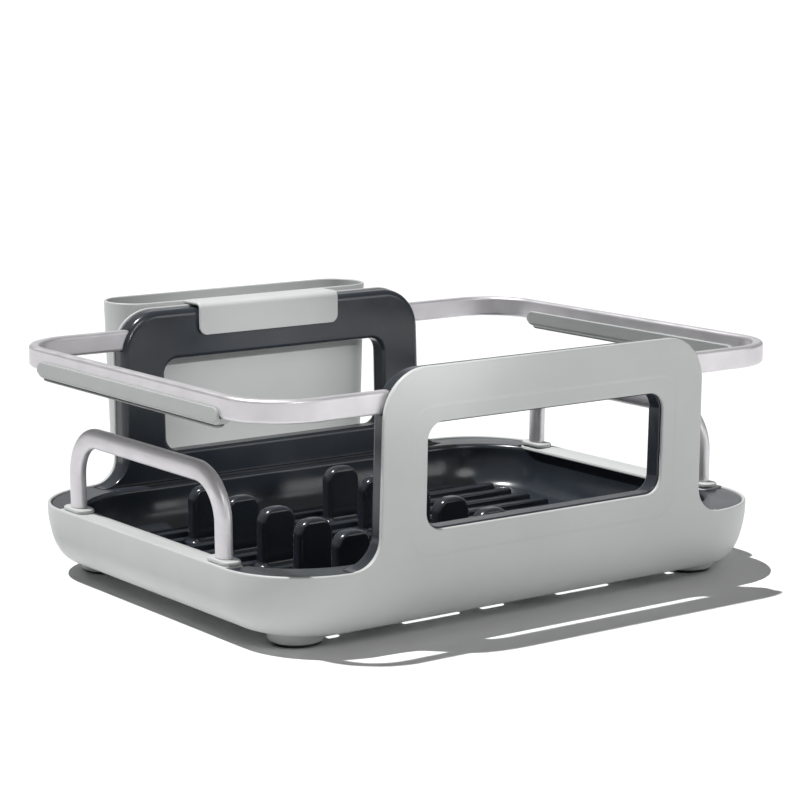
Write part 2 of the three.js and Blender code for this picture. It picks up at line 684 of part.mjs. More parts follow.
function handleTube() {
  const section = new THREE.Shape();
  section.absellipse(
    0, 0, HANDLE_TUBE_WIDTH / 2, HANDLE_TUBE_HEIGHT / 2, 0, Math.PI * 2, false, Math.PI / 2,
  );
  const geometry = new THREE.ExtrudeGeometry(section, {
    steps: HANDLE_STEPS,
    extrudePath: new HandlePath(),
    curveSegments: 6,
    bevelEnabled: false,
  });
  const holes = [-1, 1].map((side) => (
    rod(SCREW_RADIUS + SCREW_CLEARANCE, 0, side * HANDLE_HALF_SPACING,
      LEG_BOTTOM - 1, LEG_BOTTOM + HANDLE_SCREW_REACH + 1, 12)
  ));
  return toGeometry(cut(toSolid(geometry), holes));
}

function handleBase() {
  const shape = roundedRectShape(
    -BASE_WIDTH / 2, BASE_WIDTH / 2, -BASE_LENGTH / 2, BASE_LENGTH / 2, BASE_WIDTH / 2 - 1, 4,
  );
  const plate = plateAlongZ(shape, RIM_HEIGHT + TOUCH_GAP, BASE_TOP, 0.8);
  const hole = rod(SCREW_RADIUS + SCREW_CLEARANCE, 0, 0, RIM_HEIGHT - 1, BASE_TOP + 1, 12);
  return toGeometry(cut(toSolid(plate), [hole]));
}

// ---------------------------------------------------------------- screws and feet

// A screw that points up, with its head's top face at the given height.
function screw(headTop, tip) {
  const head = rod(SCREW_HEAD_RADIUS, 0, 0, headTop - SCREW_HEAD_HEIGHT, headTop, 12);
  const shank = rod(SCREW_RADIUS, 0, 0, headTop - SCREW_HEAD_HEIGHT / 2, tip, 12);
  return toGeometry(join([head, shank]));
}

function foot() {
  const profile = [
    new THREE.Vector2(0, FOOT_BOTTOM),
    new THREE.Vector2(FOOT_RADIUS - FOOT_EDGE, FOOT_BOTTOM),
    new THREE.Vector2(FOOT_RADIUS, FOOT_BOTTOM + FOOT_EDGE),
    new THREE.Vector2(FOOT_RADIUS, FOOT_TOP),
    new THREE.Vector2(FOOT_STUD_RADIUS, FOOT_TOP),
    new THREE.Vector2(FOOT_STUD_RADIUS, SHELL_FLOOR + FOOT_STUD_REACH),
    new THREE.Vector2(0, SHELL_FLOOR + FOOT_STUD_REACH),
  ];
  return new THREE.LatheGeometry(profile, 24).rotateX(Math.PI / 2);
}

function footPad() {
  return rod(FOOT_PAD_RADIUS, 0, 0, 0, FOOT_PAD_HEIGHT, 24);
}

// ---------------------------------------------------------------- utensil cup

function cupRings(wall, floor, roundBase) {
  const halfX = CUP_WIDTH / 2 - wall;
  const halfY = CUP_DEPTH / 2 - wall;
  const radius = CUP_CORNER_RADIUS - wall;
  const at = (z, extra) => {
    const pull = CUP_DRAFT * (CUP_TOP - z) + extra;
    return { outline: roundedRectPoints(halfX - pull, halfY - pull, radius - pull), z };
  };
  const rings = [0, 1, 2, 3].map((step) => {
    const angle = (step / 3) * Math.PI / 2;
    return at(floor + roundBase * (1 - Math.cos(angle)), roundBase * (1 - Math.sin(angle)));
  });
  return [...rings, at(CUP_TOP, 0)];
}

function utensilCup() {
  const place = (geometry) => geometry.translate(CUP_CENTRE_X, CUP_CENTRE_Y, 0);
  const inside = cupRings(CUP_WALL, CUP_BOTTOM + CUP_WALL, CUP_BASE_ROUND - CUP_WALL / 2);
  inside.push({ outline: inside.at(-1).outline, z: CUP_TOP + CUT_MARGIN });
  const body = cut(toSolid(place(loft(cupRings(0, CUP_BOTTOM, CUP_BASE_ROUND)))), [place(loft(inside))]);

  const frontY = CUP_CENTRE_Y - CUP_DEPTH / 2;
  const from = CUP_CENTRE_X - HOOK_WIDTH / 2;
  const to = CUP_CENTRE_X + HOOK_WIDTH / 2;
  const flapBottom = CUP_TOP - HOOK_FLAP_HEIGHT;
  const frameY = FRAME_INNER_Y + UPRIGHT_LEAN * (flapBottom - RIM_HEIGHT);
  const flapOuterY = frameY - HOOK_CLEARANCE;
  const flapInnerY = flapOuterY - HOOK_THICKNESS;
  const flapShape = roundedRectShape(from, to, flapBottom, CUP_TOP, HOOK_CORNER_RADIUS, 4);
  const flapSquare = block(from, to, flapInnerY, flapOuterY, CUP_TOP - HOOK_FLAP_HEIGHT / 2, CUP_TOP);
  const flap = plateAlongY(flapShape, flapInnerY, flapOuterY);
  const bridge = block(from, to, flapInnerY, frontY + CUP_WALL / 2, CUP_TOP - HOOK_THICKNESS, CUP_TOP);

  const drainSpacing = (CUP_WIDTH - 2 * CUP_CORNER_RADIUS) / CUP_DRAIN_COUNT;
  const drains = Array.from({ length: CUP_DRAIN_COUNT }, (_, index) => {
    const x = CUP_CENTRE_X + (index - (CUP_DRAIN_COUNT - 1) / 2) * drainSpacing;
    const shape = roundedRectShape(
      x - CUP_DRAIN_WIDTH / 2, x + CUP_DRAIN_WIDTH / 2,
      CUP_CENTRE_Y - CUP_DRAIN_LENGTH / 2, CUP_CENTRE_Y + CUP_DRAIN_LENGTH / 2,
      CUP_DRAIN_WIDTH / 2 - 0.01, 2,
    );
    return plateAlongZ(shape, CUP_BOTTOM - 1, CUP_BOTTOM + CUP_WALL + 1);
  });
  const hooked = [flap, flapSquare, bridge].reduce((whole, piece) => whole.add(toSolid(piece)), body);
  return toGeometry(cut(hooked, drains));
}

// ---------------------------------------------------------------- finishes

const FINISHES = {
  shell: { color: 0xb9bdbb, roughness: 0.45, metalness: 0 },
  tray: { color: 0x2b3036, roughness: 0.22, metalness: 0 },
  aluminium: { color: 0xcdc8cb, roughness: 0.35, metalness: 0.9 },
  grip: { color: 0xaeb2b0, roughness: 0.6, metalness: 0 },
  rubber: { color: 0x25282c, roughness: 0.8, metalness: 0 },
  glide: { color: 0x30343a, roughness: 0.5, metalness: 0 },
  steel: { color: 0x9a9da0, roughness: 0.35, metalness: 1 },
};

const rack = new THREE.Group();
rack.position.y = -ORIGIN_SHIFT_Y;

function add(name, geometry, finish, parent = rack) {
  const mesh = new THREE.Mesh(geometry, new THREE.MeshStandardMaterial(FINISHES[finish]));
  mesh.name = name;
  parent.add(mesh);
  return mesh;
}

// ---------------------------------------------------------------- assembly

add('outer_shell', outerShell(), 'shell');
add('inner_tray', tray(), 'tray');
add('front_inner_frame', innerFrame(-1), 'tray');
add('back_inner_frame', innerFrame(1), 'tray');

for (const [row, x] of Object.entries(TINE_ROWS)) {
  TINE_YS.forEach((y, index) => {
    add(`${row}_tine_${index + 1}`, tine(), 'tray').position.set(x, y, 0);
  });
}

for (const [name, turn] of [['left', Math.PI], ['right', 0]]) {
  const arm = new THREE.Group();
  arm.rotation.z = turn;
  rack.add(arm);
  add(`${name}_arm`, armBar(), 'aluminium', arm);
  add(`${name}_arm_grip`, armGrip(), 'grip', arm);
  add(`${name}_arm_grip_pad`, gripPad(), 'rubber', arm);
  for (const [end, side] of [['front', -1], ['back', 1]]) {
    const turned = turn === 0 ? side : -side;
    add(`${name}_arm_${end}_glide`, armGlide(turned), 'glide', arm);
  }
}

for (const [name, side] of [['left', -1], ['right', 1]]) {
  const handle = add(`${name}_handle`, handleTube(), 'aluminium');
  handle.position.set(side * (HANDLE_X - HANDLE_LEAN * LEG_BOTTOM), 0, 0);
  handle.rotation.y = side * HANDLE_LEAN;
}
for (const { name, x, y } of HANDLE_LEGS) {
  add(`${name}_base`, handleBase(), 'shell').position.set(x, y, 0);
  const fastener = screw(LIP_UNDERSIDE - TOUCH_GAP, LEG_BOTTOM + HANDLE_SCREW_REACH);
  add(`${name}_screw`, fastener, 'steel').position.set(x, y, 0);
}

for (const { name, x, y } of TRAY_SCREWS) {
  const tip = SHELL_FLOOR + TRAY_SCREW_DEPTH;
  add(name, screw(GROUND_CLEARANCE - TOUCH_GAP, tip), 'steel').position.set(x, y, 0);
}

for (const { name, x, y } of FEET) {
  add(`foot_${name}`, foot(), 'shell').position.set(x, y, 0);
  add(`foot_pad_${name}`, footPad(), 'rubber').position.set(x, y, 0);
}

add('utensil_cup', utensilCup(), 'shell');

export default rack;
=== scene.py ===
# %% [markdown]
# # A dish drying rack, piece by piece
# The rack is a light bowl with two windowed uprights, a dark tray with plate tines, two side
# handles, two arms that slide out to rest on a sink, and a cup for cutlery.
# The solid model is loaded first, because it says where every piece sits. The pieces below
# are finer versions of its parts, made at the same places.

# %% Load the solid model
import math

import bmesh
import bpy
from mathutils import Euler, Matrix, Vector
from mathutils.geometry import tessellate_polygon


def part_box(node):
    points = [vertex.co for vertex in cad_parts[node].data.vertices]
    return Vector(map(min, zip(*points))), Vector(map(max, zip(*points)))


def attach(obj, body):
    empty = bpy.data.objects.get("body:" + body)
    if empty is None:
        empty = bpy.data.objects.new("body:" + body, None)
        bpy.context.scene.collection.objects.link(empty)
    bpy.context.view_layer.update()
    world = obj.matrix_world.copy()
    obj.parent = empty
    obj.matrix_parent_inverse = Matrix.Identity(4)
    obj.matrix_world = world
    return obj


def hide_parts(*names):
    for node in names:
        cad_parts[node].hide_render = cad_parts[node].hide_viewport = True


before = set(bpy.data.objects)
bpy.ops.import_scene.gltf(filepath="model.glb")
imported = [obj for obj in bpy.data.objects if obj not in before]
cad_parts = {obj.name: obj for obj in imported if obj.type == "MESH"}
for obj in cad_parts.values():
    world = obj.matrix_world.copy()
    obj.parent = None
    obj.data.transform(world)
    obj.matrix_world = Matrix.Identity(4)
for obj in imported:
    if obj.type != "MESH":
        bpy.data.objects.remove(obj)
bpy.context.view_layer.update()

MM = 0.001
shell_low, shell_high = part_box("outer_shell")
RACK_MIDDLE = Vector(((shell_low.x + shell_high.x) / 2, (shell_low.y + shell_high.y) / 2, 0))
print("middle of the rack", [round(v, 4) for v in RACK_MIDDLE])

# %% [markdown]
# ## The camera
# A long lens from the front left, a little above the rim, shows the rack the way a shop page
# would. The camera's place is measured from the middle of the rack, on the ground.

# %% Make the camera
CAMERA_OFFSET = Vector((-1.02699, -1.40347, 0.42336))
CAMERA_TURN = 36.253
CAMERA_DIP = 9.818
camera_data = bpy.data.cameras.new("rack_camera")
camera_data.sensor_width = 36
camera_data.lens = 112.01
camera_data.clip_end = 1000
camera = bpy.data.objects.new("rack_camera", camera_data)
camera.location = RACK_MIDDLE + CAMERA_OFFSET
camera.rotation_euler = Euler((math.radians(90 - CAMERA_DIP), 0, math.radians(-CAMERA_TURN)))
bpy.context.scene.collection.objects.link(camera)
bpy.context.scene.camera = camera
print("camera at", [round(v, 3) for v in camera.location])

# %% [markdown]
# ## The floor
# A pale, plain sheet of studio paper. It is far wider than the rack, so its edge never shows.

# %% Make the floor
FLOOR_HALF = 150.0
FLOOR_DROP = 0.0004
floor_mesh = bpy.data.meshes.new("studio_floor")
floor_mesh.from_pydata(
    [(-FLOOR_HALF, -FLOOR_HALF, 0), (FLOOR_HALF, -FLOOR_HALF, 0),
     (FLOOR_HALF, FLOOR_HALF, 0), (-FLOOR_HALF, FLOOR_HALF, 0)],
    [], [(0, 1, 2, 3)],
)
floor = bpy.data.objects.new("studio_floor", floor_mesh)
floor.location.z = -FLOOR_DROP
bpy.context.scene.collection.objects.link(floor)
floor_material = bpy.data.materials.new("studio_paper")
floor_material.use_nodes = True
paper = floor_material.node_tree.nodes["Principled BSDF"]
paper.inputs["Base Color"].default_value = (0.85, 0.85, 0.85, 1)
paper.inputs["Roughness"].default_value = 0.9
floor_mesh.materials.append(floor_material)
print("floor", 2 * FLOOR_HALF, "m wide")

# %% [markdown]
# ## The light
# One strong sun lamp shines from high behind on the left, so a crisp shadow falls to the front
# right. Two soft panels in front open up the front faces, a weak one behind gives the far rims
# an edge, and a narrow lamp lifts the cup. The white room is dim, but polished faces mirror it.

# %% Make the lights
ROOM_IN_MIRRORS, ROOM_ON_SURFACES = 0.27, 0.02


def lamp(name, kind, location, target, energy, size):
    data = bpy.data.lights.new(name, kind)
    data.energy = energy
    if kind == "AREA":
        data.shape = "DISK"
        data.size = size
    if kind == "SUN":
        data.angle = size
    if kind == "SPOT":
        data.spot_size = size
        data.spot_blend = 0.8
        data.shadow_soft_size = 0.05
    thing = bpy.data.objects.new(name, data)
    thing.location = location
    thing.rotation_euler = (Vector(target) - Vector(location)).to_track_quat("-Z", "Y").to_euler()
    bpy.context.scene.collection.objects.link(thing)


LIGHTS = {
    "key": ("SUN", (-0.81, 0.786, 3.1), (0, 0, 0.1), 4.08, math.radians(1.0)),
    "front_high": ("AREA", (-0.5, -3.5, 3.0), (0, 0, 0.1), 34, 2.0),
    "backdrop": ("AREA", (3.2, 4.0, 2.2), (0, 0, 0.1), 8.4, 3.0),
    "front_right": ("AREA", (2.3, -3.2, 1.1), (0, 0, 0.1), 20, 2.0),
    "cup_spot": ("SPOT", (-0.61, -1.77, 0.92), (0, 0.17, 0.10), 110, math.radians(6.5)),
}
for name, (kind, place, target, energy, size) in LIGHTS.items():
    lamp(name, kind, place, target, energy, size)
world = bpy.data.worlds.new("white_room")
world.use_nodes = True
background = world.node_tree.nodes["Background"]
background.inputs["Color"].default_value = (1, 1, 1, 1)
ray = world.node_tree.nodes.new("ShaderNodeLightPath")
room_level = world.node_tree.nodes.new("ShaderNodeMath")
room_level.operation = "MULTIPLY_ADD"
room_level.inputs[1].default_value = ROOM_IN_MIRRORS
room_level.inputs[2].default_value = ROOM_ON_SURFACES
world.node_tree.links.new(ray.outputs["Is Glossy Ray"], room_level.inputs[0])
world.node_tree.links.new(room_level.outputs[0], background.inputs["Strength"])
bpy.context.scene.world = world
bpy.context.scene.view_settings.view_transform = "Standard"
print("lights made")

# %% [markdown]
# ## Small tools for building
# Most pieces of this rack are mouldings: an outline that changes a little from one level to
# the next. So the main tool is a loft through a stack of rings. Shapes are drawn in
# millimetres round the middle of the rack, and moved into the model's frame at the end.

# %% Turn rings into a closed surface
def turns(*degrees):
    """Cosine and sine at each step of a range of degrees, as in turns(0, 91, 10)."""
    return [(math.cos(math.radians(a)), math.sin(math.radians(a))) for a in range(*degrees)]


def loft(rings):
    """Vertices and faces of a closed solid through rings of equal length, in order."""
    count = len(rings[0])
    verts = [tuple(p) for ring in rings for p in ring]
    faces = []
    for level in range(len(rings) - 1):
        low = level * count
        high = low + count
        for k in range(count):
            nxt = (k + 1) % count
            faces.append((low + k, low + nxt, high + nxt, high + k))
    faces.append(tuple(reversed(range(count))))
    top = (len(rings) - 1) * count
    faces.append(tuple(top + k for k in range(count)))
    return verts, faces


def make_object(name, verts, faces):
    """A mesh object from millimetres round the rack's middle, in metres in the frame."""
    mesh = bpy.data.meshes.new(name)
    placed = [(x * MM + RACK_MIDDLE.x, y * MM + RACK_MIDDLE.y, z * MM) for x, y, z in verts]
    mesh.from_pydata(placed, [], faces)
    bm = bmesh.new()
    bm.from_mesh(mesh)
    bmesh.ops.remove_doubles(bm, verts=bm.verts, dist=1e-7)
    bmesh.ops.dissolve_degenerate(bm, edges=bm.edges, dist=1e-8)
    bmesh.ops.recalc_face_normals(bm, faces=bm.faces)
    bm.to_mesh(mesh)
    bm.free()
    thing = bpy.data.objects.new(name, mesh)
    bpy.context.scene.collection.objects.link(thing)
    return thing


# %% [markdown]
# A finished piece keeps no modifiers. Its faces are smooth where they meet softly and sharp
# where they meet at a corner, and weighted normals keep wide flat faces flat.

# %% Bake a piece's modifiers and shade it
def settle(thing):
    """Replaces the object's mesh by its evaluated one and drops the modifiers."""
    bpy.context.view_layer.update()
    graph = bpy.context.evaluated_depsgraph_get()
    mesh = bpy.data.meshes.new_from_object(thing.evaluated_get(graph), depsgraph=graph)
    mesh.name = thing.name
    thing.modifiers.clear()
    thing.data = mesh
    return thing


def shade(thing, angle=32):
    for polygon in thing.data.polygons:
        polygon.use_smooth = True
    thing.data.set_sharp_from_angle(angle=math.radians(angle))
    weighted = thing.modifiers.new("weighted", "WEIGHTED_NORMAL")
    weighted.keep_sharp = True
    weighted.weight = 60
    return settle(thing)


def cut_away(thing, cutter):
    """Subtracts one closed object from another and removes the cutter."""
    cut = thing.modifiers.new("cut", "BOOLEAN")
    cut.operation = "DIFFERENCE"
    cut.solver = "EXACT"
    cut.object = cutter
    settle(thing)
    bpy.data.objects.remove(cutter)
    return thing


def weld_on(thing, other):
    """Joins two closed objects into one skin."""
    weld = thing.modifiers.new("weld", "BOOLEAN")
    weld.operation = "UNION"
    weld.solver = "EXACT"
    weld.object = other
    settle(thing)
    bpy.data.objects.remove(other)
    return thing


def finish_piece(thing, material, body, slot, *nodes):
    """Gives a piece its finish and its body, and hides the CAD nodes that it stands for."""
    thing.data.materials.clear()
    thing.data.materials.append(material)
    for polygon in thing.data.polygons:
        polygon.material_index = 0
    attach(thing, body)
    if nodes:
        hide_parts(*nodes)
    thing.data.calc_loop_triangles()
    print(thing.name, len(thing.data.loop_triangles), "triangles")
    return thing


# %% [markdown]
# ## Outlines
# Bowl, tray, cup and grips are all rounded rectangles seen from above. Every ring has the
# same number of points, so that any two can be joined.

# %% Rounded rectangles
SLIVER = 0.02  # the least straight side that is left beside a full round end


def round_rect(half_x, half_y, radius, z, corner_steps=16):
    """A ring of points round a rounded rectangle at height z."""
    points = []
    for sx, sy, start in ((1, 1, 0), (-1, 1, 90), (-1, -1, 180), (1, -1, 270)):
        cx, cy = sx * (half_x - radius), sy * (half_y - radius)
        for step in range(corner_steps + 1):
            a = math.radians(start + 90 * step / corner_steps)
            points.append((cx + radius * math.cos(a), cy + radius * math.sin(a), z))
    return points


print("a ring has", len(round_rect(10, 10, 2, 0)), "points")

# %% [markdown]
# ## Finishes
# Each finish is a shader whose colour, roughness and bump come from noise in object space, so
# the grain has a real size on every piece. The light plastic is a spark-textured moulding:
# fine pits, and a slow change of tone where hands have polished it.

# %% A tool for shader nodes
def new_finish(name):
    material = bpy.data.materials.new(name)
    material.use_nodes = True
    shader = material.node_tree.nodes["Principled BSDF"]
    return material, material.node_tree, shader


def noise(tree, scale, detail=4.0, stretch=(1, 1, 1), roughness=0.5):
    """Noise in object space: scale counts per metre, stretch slows it along an axis."""
    place = tree.nodes.new("ShaderNodeTexCoord")
    mapping = tree.nodes.new("ShaderNodeMapping")
    mapping.inputs["Scale"].default_value = stretch
    texture = tree.nodes.new("ShaderNodeTexNoise")
    texture.inputs["Scale"].default_value = scale
    texture.inputs["Detail"].default_value = detail
    texture.inputs["Roughness"].default_value = roughness
    tree.links.new(place.outputs["Object"], mapping.inputs["Vector"])
    tree.links.new(mapping.outputs["Vector"], texture.inputs["Vector"])
    return texture.outputs["Fac"]


def spread(tree, value, low, high, from_low=0.3, from_high=0.7):
    """Maps a noise value to a range."""
    node = tree.nodes.new("ShaderNodeMapRange")
    node.inputs["From Min"].default_value = from_low
    node.inputs["From Max"].default_value = from_high
    node.inputs["To Min"].default_value = low
    node.inputs["To Max"].default_value = high
    tree.links.new(value, node.inputs["Value"])
    return node.outputs["Result"]


def two_tones(tree, value, dark, light):
    node = tree.nodes.new("ShaderNodeMix")
    node.data_type = "RGBA"
    node.inputs["A"].default_value = (*dark, 1)
    node.inputs["B"].default_value = (*light, 1)
    tree.links.new(value, node.inputs["Factor"])
    return node.outputs["Result"]


def bump(tree, shader, height, strength, distance):
    node = tree.nodes.new("ShaderNodeBump")
    node.inputs["Strength"].default_value = strength
    node.inputs["Distance"].default_value = distance
    tree.links.new(height, node.inputs["Height"])
    tree.links.new(node.outputs["Normal"], shader.inputs["Normal"])


# %% The light shell plastic
SHELL_DARK = (0.500, 0.516, 0.510)
SHELL_LIGHT = (0.535, 0.550, 0.544)
shell_plastic, tree, shader = new_finish("light_shell_plastic_finish")
slow_tone = noise(tree, 14, 3)
tree.links.new(two_tones(tree, spread(tree, slow_tone, 0, 1), SHELL_DARK, SHELL_LIGHT),
               shader.inputs["Base Color"])
tree.links.new(spread(tree, noise(tree, 60, 5), 0.40, 0.52), shader.inputs["Roughness"])
bump(tree, shader, noise(tree, 2600, 2), 0.10, 0.0002)
shader.inputs["IOR"].default_value = 1.5
print("finish", shell_plastic.name)

# %% [markdown]
# The dark plastic is polished. It shows a faint orange peel, and smudges dull it in places.

# %% The dark tray plastic
TRAY_DARK = (0.0200, 0.0255, 0.0330)
TRAY_LIGHT = (0.0270, 0.0330, 0.0410)
tray_plastic, tree, shader = new_finish("dark_tray_plastic_finish")
tree.links.new(two_tones(tree, spread(tree, noise(tree, 25, 4), 0, 1), TRAY_DARK, TRAY_LIGHT),
               shader.inputs["Base Color"])
tree.links.new(spread(tree, noise(tree, 38, 6, roughness=0.62), 0.15, 0.27),
               shader.inputs["Roughness"])
bump(tree, shader, noise(tree, 170, 3), 0.06, 0.0006)
shader.inputs["IOR"].default_value = 1.52
print("finish", tray_plastic.name)

# %% [markdown]
# The arms and handles are aluminium, blasted to a satin and anodised. The blasting leaves a
# fine even grain, and drawing the bar leaves a faint streak along it.

# %% Satin aluminium
ALUMINIUM_DARK = (0.620, 0.604, 0.622)
ALUMINIUM_LIGHT = (0.690, 0.674, 0.692)
aluminium, tree, shader = new_finish("satin_aluminium_finish")
shader.inputs["Metallic"].default_value = 0.75
tree.links.new(
    two_tones(tree, spread(tree, noise(tree, 45, 4), 0, 1), ALUMINIUM_DARK, ALUMINIUM_LIGHT),
    shader.inputs["Base Color"])
tree.links.new(spread(tree, noise(tree, 900, 2, stretch=(0.06, 0.06, 1)), 0.36, 0.50),
               shader.inputs["Roughness"])
bump(tree, shader, noise(tree, 3200, 2), 0.12, 0.0001)
print("finish", aluminium.name)

# %% [markdown]
# The grips are a soft, slightly greener grey rubber. The strips under the grips are a darker
# grey rubber with a rough skin, and the pads under the feet are nearly black.

# %% Grip rubber and pad rubber
GRIP_DARK = (0.360, 0.378, 0.370)
GRIP_LIGHT = (0.395, 0.413, 0.405)
grip_rubber, tree, shader = new_finish("soft_grip_finish")
tree.links.new(two_tones(tree, spread(tree, noise(tree, 30, 4), 0, 1), GRIP_DARK, GRIP_LIGHT),
               shader.inputs["Base Color"])
tree.links.new(spread(tree, noise(tree, 120, 4), 0.55, 0.68), shader.inputs["Roughness"])
shader.inputs["Sheen Weight"].default_value = 0.15
bump(tree, shader, noise(tree, 2000, 2), 0.16, 0.0002)


def rough_rubber(name, dark, light):
    material, tree, shader = new_finish(name)
    tree.links.new(two_tones(tree, spread(tree, noise(tree, 200, 5), 0, 1), dark, light),
                   shader.inputs["Base Color"])
    tree.links.new(spread(tree, noise(tree, 300, 4), 0.72, 0.88), shader.inputs["Roughness"])
    bump(tree, shader, noise(tree, 1500, 3), 0.35, 0.0003)
    return material


pad_rubber = rough_rubber("non_slip_rubber_finish", (0.024, 0.026, 0.029), (0.042, 0.044, 0.048))
strip_rubber = rough_rubber("grip_strip_finish", (0.170, 0.180, 0.175), (0.210, 0.220, 0.215))
print("finishes", grip_rubber.name, pad_rubber.name, strip_rubber.name)

# %% [markdown]
# Two small finishes are left: zinc-plated steel for the screws, with faint marks, and the
# nylon of the glides that run inside the uprights.

# %% Screw steel and glide nylon
STEEL_DARK = (0.46, 0.47, 0.48)
STEEL_LIGHT = (0.62, 0.63, 0.64)
screw_steel, tree, shader = new_finish("screw_steel_finish")
shader.inputs["Metallic"].default_value = 1.0
tree.links.new(two_tones(tree, spread(tree, noise(tree, 700, 3), 0, 1), STEEL_DARK, STEEL_LIGHT),
               shader.inputs["Base Color"])
tree.links.new(spread(tree, noise(tree, 1600, 3, stretch=(1, 1, 0.1)), 0.25, 0.42),
               shader.inputs["Roughness"])
bump(tree, shader, noise(tree, 2500, 2), 0.10, 0.0001)

NYLON_DARK = (0.045, 0.050, 0.056)
NYLON_LIGHT = (0.060, 0.066, 0.072)
glide_nylon, tree, shader = new_finish("glide_plastic_finish")
tree.links.new(two_tones(tree, spread(tree, noise(tree, 260, 4), 0, 1), NYLON_DARK, NYLON_LIGHT),
               shader.inputs["Base Color"])
tree.links.new(spread(tree, noise(tree, 400, 3), 0.42, 0.55), shader.inputs["Roughness"])
bump(tree, shader, noise(tree, 1800, 2), 0.12, 0.0002)
print("finishes", screw_steel.name, glide_nylon.name)

# %% [markdown]
# ## Geometry Nodes for what repeats
# Ribs, tines, drain slots, feet and screws stand in even rows. One small node tree lays a
# part out on a grid, turns the instances into real mesh and gives them their finish.

# %% A node tree that lays parts on a grid
def grid_tree():
    tree = bpy.data.node_groups.new("parts_on_a_grid", "GeometryNodeTree")
    face = tree.interface
    face.new_socket("Geometry", in_out="INPUT", socket_type="NodeSocketGeometry")
    for name, kind, value in (
        ("Columns", "NodeSocketInt", 1), ("Rows", "NodeSocketInt", 1),
        ("Column Pitch", "NodeSocketFloat", 0.0), ("Row Pitch", "NodeSocketFloat", 0.0),
    ):
        face.new_socket(name, in_out="INPUT", socket_type=kind).default_value = value
    face.new_socket("Finish", in_out="INPUT", socket_type="NodeSocketMaterial")
    face.new_socket("Geometry", in_out="OUTPUT", socket_type="NodeSocketGeometry")
    add = tree.nodes.new
    link = tree.links.new
    given, made = add("NodeGroupInput"), add("NodeGroupOutput")

    def line(count, pitch, axis):
        """A centred line of points along an axis."""
        less = add("ShaderNodeMath")
        less.operation = "SUBTRACT"
        less.inputs[1].default_value = 1.0
        half = add("ShaderNodeMath")
        half.operation = "MULTIPLY"
        start = add("ShaderNodeMath")
        start.operation = "MULTIPLY"
        start.inputs[1].default_value = -0.5
        begin, step = add("ShaderNodeCombineXYZ"), add("ShaderNodeCombineXYZ")
        points = add("GeometryNodeMeshLine")
        link(given.outputs[count], less.inputs[0])
        link(less.outputs[0], half.inputs[0])
        link(given.outputs[pitch], half.inputs[1])
        link(half.outputs[0], start.inputs[0])
        link(start.outputs[0], begin.inputs[axis])
        link(given.outputs[pitch], step.inputs[axis])
        link(given.outputs[count], points.inputs["Count"])
        link(begin.outputs[0], points.inputs["Start Location"])
        link(step.outputs[0], points.inputs["Offset"])
        return points.outputs["Mesh"]

    across, along = add("GeometryNodeInstanceOnPoints"), add("GeometryNodeInstanceOnPoints")
    flat, grid = add("GeometryNodeRealizeInstances"), add("GeometryNodeRealizeInstances")
    coat = add("GeometryNodeSetMaterial")
    link(line("Columns", "Column Pitch", "X"), across.inputs["Points"])
    link(line("Rows", "Row Pitch", "Y"), across.inputs["Instance"])
    link(across.outputs["Instances"], grid.inputs["Geometry"])
    link(grid.outputs["Geometry"], along.inputs["Points"])
    link(given.outputs["Geometry"], along.inputs["Instance"])
    link(along.outputs["Instances"], flat.inputs["Geometry"])
    link(flat.outputs["Geometry"], coat.inputs["Geometry"])
    link(given.outputs["Finish"], coat.inputs["Material"])
    link(coat.outputs["Geometry"], made.inputs["Geometry"])
    return tree


GRID = grid_tree()


def on_grid(thing, material, columns=1, rows=1, column_pitch=0.0, row_pitch=0.0):
    """Repeats a part, in millimetres of pitch, round its own place."""
    layout = thing.modifiers.new("grid", "NODES")
    layout.node_group = GRID
    values = {"Columns": columns, "Rows": rows, "Finish": material,
              "Column Pitch": column_pitch * MM, "Row Pitch": row_pitch * MM}
    for item in GRID.interface.items_tree:
        if item.in_out == "INPUT" and item.name in values:
            layout[item.identifier] = values[item.name]
    return settle(thing)


print("node tree", GRID.name, "with", len(GRID.nodes), "nodes")

# %% [markdown]
# ## The outer bowl
# The bowl is one thin wall. Its sides stand upright at the rim and curve in to a flat floor,
# so the rings follow a quarter of an ellipse. The loft runs up the outside, over a rounded
# rim and down the inside, which closes the wall without any solidify step.

# %% Shape of the bowl
HALF_LENGTH, HALF_DEPTH = 215.0, 167.5
RIM_Z, BOWL_FLOOR_Z = 52.0, 10.0
RIM_CORNER = 60.0
BOWL_END_INSET, BOWL_FRONT_INSET = 20.0, 15.0
WALL = 2.5
CUT_PAST, CUT_BELOW_BOWL = 2.0, 5.0


def bowl_rings(half_x, half_y, corner, top, floor, end_inset, front_inset, steps):
    """Rings of a bowl from its floor up to its rim."""
    rings = []
    for step in range(steps + 1):
        a = math.radians(90 * step / steps)
        pull = 1 - math.sin(a)
        rings.append(round_rect(
            half_x - pull * end_inset, half_y - pull * front_inset,
            corner - pull * (end_inset + front_inset) / 2,
            top - (top - floor) * math.cos(a)))
    return rings


def drain_cutters(name, low, high):
    """Rows of closed bars that cut the drain slots, one column after another."""
    made = []
    for index, (left, right, rows, pitch) in enumerate(SLOTS):
        half = (right - left) / 2
        rings = [[(x + (left + right) / 2, y, z) for x, y, z in
                  round_rect(half, SLOT_WIDTH / 2, (SLOT_WIDTH - SLIVER) / 2, z, 6)]
                 for z in (low, high)]
        made.append(on_grid(make_object(f"{name}_{index}", *loft(rings)), None,
                            rows=rows, row_pitch=pitch))
    return made


def merge(name, things):
    """One object from several that don't touch."""
    bm = bmesh.new()
    for thing in things:
        bm.from_mesh(thing.data)
        bpy.data.objects.remove(thing)
    mesh = bpy.data.meshes.new(name)
    bm.to_mesh(mesh)
    bm.free()
    joined = bpy.data.objects.new(name, mesh)
    bpy.context.scene.collection.objects.link(joined)
    return joined


